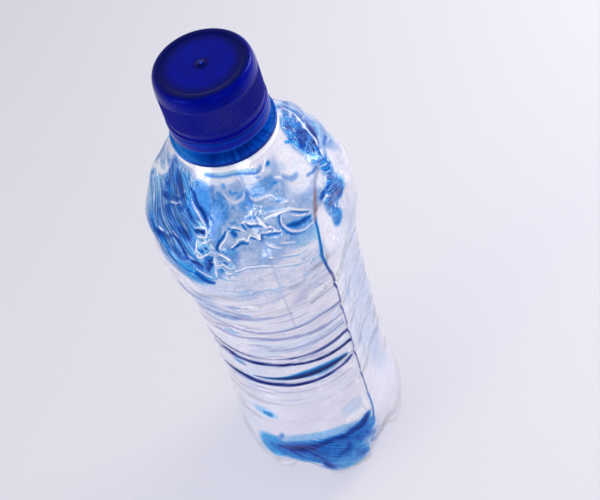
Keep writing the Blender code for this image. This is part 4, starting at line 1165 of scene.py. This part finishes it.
# folded clear plastic
pet = {
    # scale, detail and distortion of the grain: loose, in level lines and in slanting ones
    "loose": (620.0, 4.0, 1.4), "level": (900.0, 3.0, 0.3), "slanted": (1250.0, 3.0, 0.4),
    "flattened": (0.18, 0.18, 1.0), "stirred": 3.2,
    # of the thin lines that run side by side where folds crowd
    "looseLoops": (330.0, 1.0, 0.9), "slantedLoops": (560.0, 1.0, 1.1), "loops": 26.0,
    "crestShare": 0.55, "crestPale": 0.4, "troughTint": 0.78, "troughAfter": 1.2,
    # where a measure starts to count, and where it counts in full
    "crestFrom": (0.80, 0.99), "troughFrom": (0.55, 0.95), "paleFrom": (0.25, 0.80),
    "ringFrom": (0.02, 0.08), "deepFrom": (0.05, 0.45), "scuffFrom": (0.35, 0.75),
    "stirInTint": 0.8, "grainInPale": 0.5, "tintIsDeep": 0.85,
    "scuffs": (150.0, 6.0, 0.4),
    # from the clear wall over a painted highlight at a fold's edge to deep blue
    "fold": [(0.03, (0.97, 0.945, 0.985)), (0.08, (0.90, 0.895, 0.965)), (0.20, (0.36, 0.53, 0.82)),
             (0.32, (0.11, 0.31, 0.68)), (0.37, (0.03, 0.20, 0.52)), (0.40, (0.95, 0.98, 1.0)),
             (0.44, (0.62, 0.92, 1.0)), (0.49, (0.05, 0.50, 0.92)), (0.64, (0.02, 0.34, 0.74)),
             (0.84, (0.008, 0.17, 0.46)), (1.0, (0.003, 0.05, 0.2))],
    # by how strongly a place is marked
    "tintAndShade": [(0.06, (1.0, 1.0, 1.0)), (0.22, (0.34, 0.72, 0.96)), (0.42, (0.02, 0.42, 0.88)),
             (0.62, (0.003, 0.20, 0.62)), (0.85, (0.002, 0.06, 0.30)), (1.0, (0.001, 0.012, 0.11))],
    "shadeAndSeam": [(0.0, (1.0, 1.0, 1.0)), (0.3, (0.28, 0.50, 0.82)), (0.6, (0.03, 0.16, 0.56)),
            (0.85, (0.003, 0.03, 0.26)), (1.0, (0.001, 0.008, 0.12))],
    "line": [(0.0, (1.0, 1.0, 1.0)), (0.3, (0.40, 0.43, 0.66)), (0.6, (0.06, 0.085, 0.32)),
             (0.85, (0.006, 0.014, 0.14)), (1.0, (0.001, 0.004, 0.06))],
    "ring": [(0.05, (0.03, 0.34, 0.86)), (0.45, (0.004, 0.13, 0.62)), (0.8, (0.001, 0.03, 0.30)),
             (1.0, (0.001, 0.008, 0.12))],
    # the white of painted highlights, the light blue of painted crests, and the brown of the line in the
    # crease
    "white": (0.95, 0.96, 1.0), "crest": (0.50, 0.80, 1.0), "brown": (0.16, 0.09, 0.12),
    "shadow": (0.93, 0.935, 0.97),
    # clear and in deep places
    "throughLight": (0.80, 0.25), "gloss": (0.5, 0.02),
    "glossColours": [(0.05, (1.0, 1.0, 1.0)), (0.4, (0.1, 0.36, 1.0))],
    "roughness": (0.02, 0.10), "ior": 1.52, "bump": 0.35, "bumpHeight": 0.4 * mm,
}


def petGrain(tree, place):
    # loose, level on the ribbed wall, slanting where the folds slant
    flat = addNode(tree, "ShaderNodeMapping")
    flat.inputs["Scale"].default_value = pet["flattened"]
    feed(tree, place, flat.inputs["Vector"])
    grain = blendNumbers(tree, noted(tree, "lying"), noiseOf(tree, place, *pet["loose"]),
                         noiseOf(tree, flat.outputs["Vector"], *pet["level"]))
    grain = blendNumbers(tree, noted(tree, "slant"), grain,
                         noiseOf(tree, noted(tree, "drawn", "Vector"), *pet["slanted"]))
    return calculate(tree, "SUBTRACT", grain, 0.5)


def petLoops(tree, place):
    # where the folds crowd, thin painted highlights and painted shade lines run side by side around them
    loops = blendNumbers(tree, noted(tree, "slant"), noiseOf(tree, place, *pet["looseLoops"]),
                         noiseOf(tree, noted(tree, "drawn", "Vector"), *pet["slantedLoops"]))
    loops = times(tree, loops, pet["loops"])
    crowded = noted(tree, "crowd")
    crest = range01(tree, calculate(tree, "SINE", loops), *pet["crestFrom"], 0.0, 1.0)
    beside = calculate(tree, "SINE", calculate(tree, "ADD", loops, pet["troughAfter"]))
    trough = range01(tree, beside, *pet["troughFrom"], 0.0, 1.0)
    return times(tree, crest, crowded), times(tree, trough, crowded)


def letLightThrough(tree, surface):
    # a shadow as light as the plastic
    clear = addNode(tree, "ShaderNodeBsdfTransparent")
    feed(tree, pet["shadow"], clear.inputs["Color"])
    for ray in ("Is Shadow Ray", "Is Diffuse Ray"):
        mix = addNode(tree, "ShaderNodeMixShader")
        feed(tree, addNode(tree, "ShaderNodeLightPath").outputs[ray], mix.inputs["Fac"])
        feed(tree, surface, mix.inputs[1])
        feed(tree, clear.outputs["BSDF"], mix.inputs[2])
        surface = mix.outputs["Shader"]
    feed(tree, surface, tree.nodes["Material Output"].inputs["Surface"])


def petMaterial():
    material, tree, shader = newMaterial("clear_pet")
    place = addNode(tree, "ShaderNodeTexCoord").outputs["Object"]
    grain = petGrain(tree, place)
    stirred = times(tree, times(tree, grain, noted(tree, "stir")), pet["stirred"])
    crest, trough = petLoops(tree, place)
    tintAndShade = larger(tree, noted(tree, "tintAndShade"), times(tree, trough, pet["troughTint"]))
    shadeAndSeam, ring = noted(tree, "shadeAndSeam"), noted(tree, "ring")
    onRing = range01(tree, ring, *pet["ringFrom"], 0.0, 1.0)
    pale = calculate(tree, "ADD", noted(tree, "pale"), times(tree, grain, pet["grainInPale"]))
    pale = range01(tree, pale, *pet["paleFrom"], 0.0, 1.0)

    # folds, their deeper tint and painted shade, painted highlights, painted shade lines, a brown line, and
    # the ring with a blue of its own in painted light and shade
    colour = ramp(tree, calculate(tree, "ADD", noted(tree, "fold"), stirred), pet["fold"])
    tintStirred = calculate(tree, "ADD", tintAndShade, times(tree, stirred, pet["stirInTint"]))
    colour = blendColours(tree, 1.0, colour, ramp(tree, tintStirred, pet["tintAndShade"]), "MULTIPLY")
    colour = blendColours(tree, times(tree, crest, pet["crestShare"]), colour, pet["crest"])
    colour = blendColours(tree, pale, colour, pet["white"])
    shadeAndSeamColour = blendColours(tree, noted(tree, "lying"), ramp(tree, shadeAndSeam, pet["shadeAndSeam"]),
                             ramp(tree, shadeAndSeam, pet["line"]))
    colour = blendColours(tree, 1.0, colour, shadeAndSeamColour, "MULTIPLY")
    colour = blendColours(tree, noted(tree, "brownLine"), colour, pet["brown"])
    colour = blendColours(tree, onRing, colour, ramp(tree, ring, pet["ring"]))
    feed(tree, colour, shader.inputs["Base Color"])

    # deep and pale places let less light through, and deep ones shine less and bluer
    dim = larger(tree, shadeAndSeam, times(tree, larger(tree, tintAndShade, onRing), pet["tintIsDeep"]))
    pale = larger(tree, pale, times(tree, crest, pet["crestPale"]))
    through = range01(tree, larger(tree, pale, dim), 0.0, 1.0, *pet["throughLight"])
    feed(tree, through, shader.inputs["Transmission Weight"])
    feed(tree, range01(tree, dim, *pet["deepFrom"], *pet["gloss"]), shader.inputs["Specular IOR Level"])
    feed(tree, ramp(tree, dim, pet["glossColours"]), shader.inputs["Specular Tint"])
    scuffs = noiseOf(tree, place, *pet["scuffs"])
    feed(tree, range01(tree, scuffs, *pet["scuffFrom"], *pet["roughness"]), shader.inputs["Roughness"])
    shader.inputs["IOR"].default_value = pet["ior"]
    bump = addNode(tree, "ShaderNodeBump")
    bump.inputs["Strength"].default_value = pet["bump"]
    bump.inputs["Distance"].default_value = pet["bumpHeight"]
    feed(tree, stirred, bump.inputs["Height"])
    feed(tree, bump.outputs["Normal"], shader.inputs["Normal"])
    letLightThrough(tree, shader.outputs["BSDF"])
    return material


# moulded plastic of the cap, the band and the liner
moulded = {
    "grain": (260.0, 4.0), "darker": 0.75,
    "scuffs": (90.0, 6.0, 0.6), "roughness": (0.14, 0.24), "gloss": 0.2, "glossColour": (0.03, 0.09, 1.0),
}


def shadeAlong(tree, place, along, stops):
    # by the way from the axis or by the height, in mm
    measure = addNode(tree, "ShaderNodeVectorMath", operation="MULTIPLY")
    feed(tree, place, measure.inputs[0])
    measure.inputs[1].default_value = (1, 1, 0) if along == "outwards" else (0, 0, 1)
    length = addNode(tree, "ShaderNodeVectorMath", operation="LENGTH")
    feed(tree, measure.outputs["Vector"], length.inputs[0])
    low, high = stops[0][0], stops[-1][0]
    share = range01(tree, length.outputs["Value"], low * mm, high * mm, 0.0, 1.0)
    return ramp(tree, share, [((at - low) / (high - low), shade) for at, shade in stops])


def mouldedMaterial(name, colour, along="", stops=(), glossColour=moulded["glossColour"]):
    material, tree, shader = newMaterial(name)
    place = addNode(tree, "ShaderNodeTexCoord").outputs["Object"]
    dark = tuple(moulded["darker"] * channel for channel in colour)
    colour = ramp(tree, noiseOf(tree, place, *moulded["grain"]), [(0.3, dark), (0.7, colour)])
    if along:
        colour = blendColours(tree, 1.0, colour, shadeAlong(tree, place, along, stops), "MULTIPLY")
    feed(tree, colour, shader.inputs["Base Color"])
    scuffs = noiseOf(tree, place, *moulded["scuffs"])
    feed(tree, range01(tree, scuffs, 0.3, 0.7, *moulded["roughness"]), shader.inputs["Roughness"])
    shader.inputs["Specular IOR Level"].default_value = moulded["gloss"]
    shader.inputs["Specular Tint"].default_value = (*glossColour, 1.0)
    return material


def dress(piece, material):
    piece.data.materials.clear()
    piece.data.materials.append(material)


stage = {
    "floorSize": 6.0, "floor": (0.75, 0.735, 0.785), "roughness": 0.85,
    # further away than this the floor shows the paper's own colour
    "paper": (0.74, 0.735, 0.82), "paperFrom": 0.35, "paperAt": 1.1,
    "world": (0.80, 0.82, 0.90), "worldStrength": 0.34,
    # name, place, aim, sides, watts, colour
    "lamps": [
        ("key", (0.75, 0.20, 0.70), (0, 0, 0.1), (0.35, 0.6), 5.0, (1.0, 1.0, 1.0)),
        ("fill", (-0.8, -0.35, 0.5), (0, 0, 0.1), (0.45, 0.45), 3.5, (0.95, 0.97, 1.0)),
        ("front", (0.15, -1.0, 0.55), (0, 0, 0.1), (0.5, 0.25), 2.4, (1.0, 0.99, 0.98)),
        ("side", (0.74, 0.34, 0.40), (0, 0, 0.19), (0.32, 0.18), 2.6, (0.97, 0.97, 1.0)),
        ("top", (0.0, 0.0, 1.2), (0, 0, 0.1), (0.6, 0.3), 1.6, (1.0, 1.0, 1.0)),
    ],
}


def seenAsPaper(tree):
    # by the camera, in a reflection or through clear plastic
    path = addNode(tree, "ShaderNodeLightPath").outputs
    seen = larger(tree, path["Is Camera Ray"], path["Is Transmission Ray"])
    return larger(tree, seen, path["Is Glossy Ray"])


def mixPaper(tree, share, lit, paper, output):
    mix = addNode(tree, "ShaderNodeMixShader")
    feed(tree, share, mix.inputs["Fac"])
    feed(tree, lit, mix.inputs[1])
    feed(tree, paper, mix.inputs[2])
    feed(tree, mix.outputs["Shader"], tree.nodes[output].inputs["Surface"])


def makeFloor():
    selectNothing()
    bpy.ops.mesh.primitive_plane_add(size=stage["floorSize"], location=(0, 0, 0))
    floor = bpy.context.object
    floor.name = "floor"
    material, tree, shader = newMaterial("floor_paper")
    feed(tree, stage["floor"], shader.inputs["Base Color"])
    shader.inputs["Roughness"].default_value = stage["roughness"]
    # far from the lamps the paper stays pale to the camera
    away = addNode(tree, "ShaderNodeVectorMath", operation="LENGTH")
    feed(tree, addNode(tree, "ShaderNodeTexCoord").outputs["Object"], away.inputs[0])
    away = range01(tree, away.outputs["Value"], stage["paperFrom"], stage["paperAt"], 0.0, 1.0)
    glow = addNode(tree, "ShaderNodeEmission")
    feed(tree, stage["paper"], glow.inputs["Color"])
    mixPaper(tree, times(tree, away, seenAsPaper(tree)), shader.outputs["BSDF"], glow.outputs["Emission"],
             "Material Output")
    dress(floor, material)


def makeWorld():
    world = bpy.data.worlds.new("studio")
    bpy.context.scene.world = world
    world.use_nodes = True
    tree = world.node_tree
    background = tree.nodes["Background"]
    feed(tree, stage["world"], background.inputs["Color"])
    background.inputs["Strength"].default_value = stage["worldStrength"]
    behind = addNode(tree, "ShaderNodeBackground")
    feed(tree, stage["paper"], behind.inputs["Color"])
    mixPaper(tree, seenAsPaper(tree), background.outputs["Background"], behind.outputs["Background"],
             "World Output")


def makeLamps():
    for name, place, aim, sides, watts, colour in stage["lamps"]:
        bpy.ops.object.light_add(type="AREA", location=place)
        lamp = bpy.context.object
        lamp.name = name
        lamp.data.shape = "RECTANGLE"
        lamp.data.size, lamp.data.size_y = sides
        lamp.data.energy = watts
        lamp.data.color = colour
        lamp.rotation_euler = (Vector(aim) - Vector(place)).to_track_quat("-Z", "Y").to_euler()
    bpy.context.scene.view_settings.view_transform = "Standard"
    print("stage:", len(stage["lamps"]), "lamps")


# where the camera stands, how far it looks down and aside, how it leans, and its lens in mm
shot = {"place": (0.0, -0.2999, 0.4678), "down": 50.45, "aside": 1.86, "lean": -18.61, "lens": 84.27,
        "sensor": 36.0, "clip": 0.01}


def makeCamera():
    bpy.ops.object.camera_add(location=shot["place"])
    camera = bpy.context.object
    turn = (Matrix.Rotation(math.radians(-shot["aside"]), 4, "Z")
            @ Matrix.Rotation(math.radians(90 - shot["down"]), 4, "X")
            @ Matrix.Rotation(math.radians(shot["lean"]), 4, "Z"))
    camera.rotation_euler = turn.to_euler()
    camera.data.lens = shot["lens"]
    camera.data.sensor_width = shot["sensor"]
    camera.data.clip_start = shot["clip"]
    bpy.context.scene.camera = camera


dress(makeBottle(), petMaterial())
dress(makeCap(), mouldedMaterial("cap_blue", cap["blue"], "outwards", cap["shades"]))
dress(makeBand(), mouldedMaterial("band_blue", band["blue"], "upwards", band["shades"]))
# the liner keeps the solid model's shape
dress(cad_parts["seal_liner"],
      mouldedMaterial("liner_white", (0.8, 0.82, 0.84), glossColour=(1.0, 1.0, 1.0)))
makeFloor()
makeWorld()
makeLamps()
makeCamera()
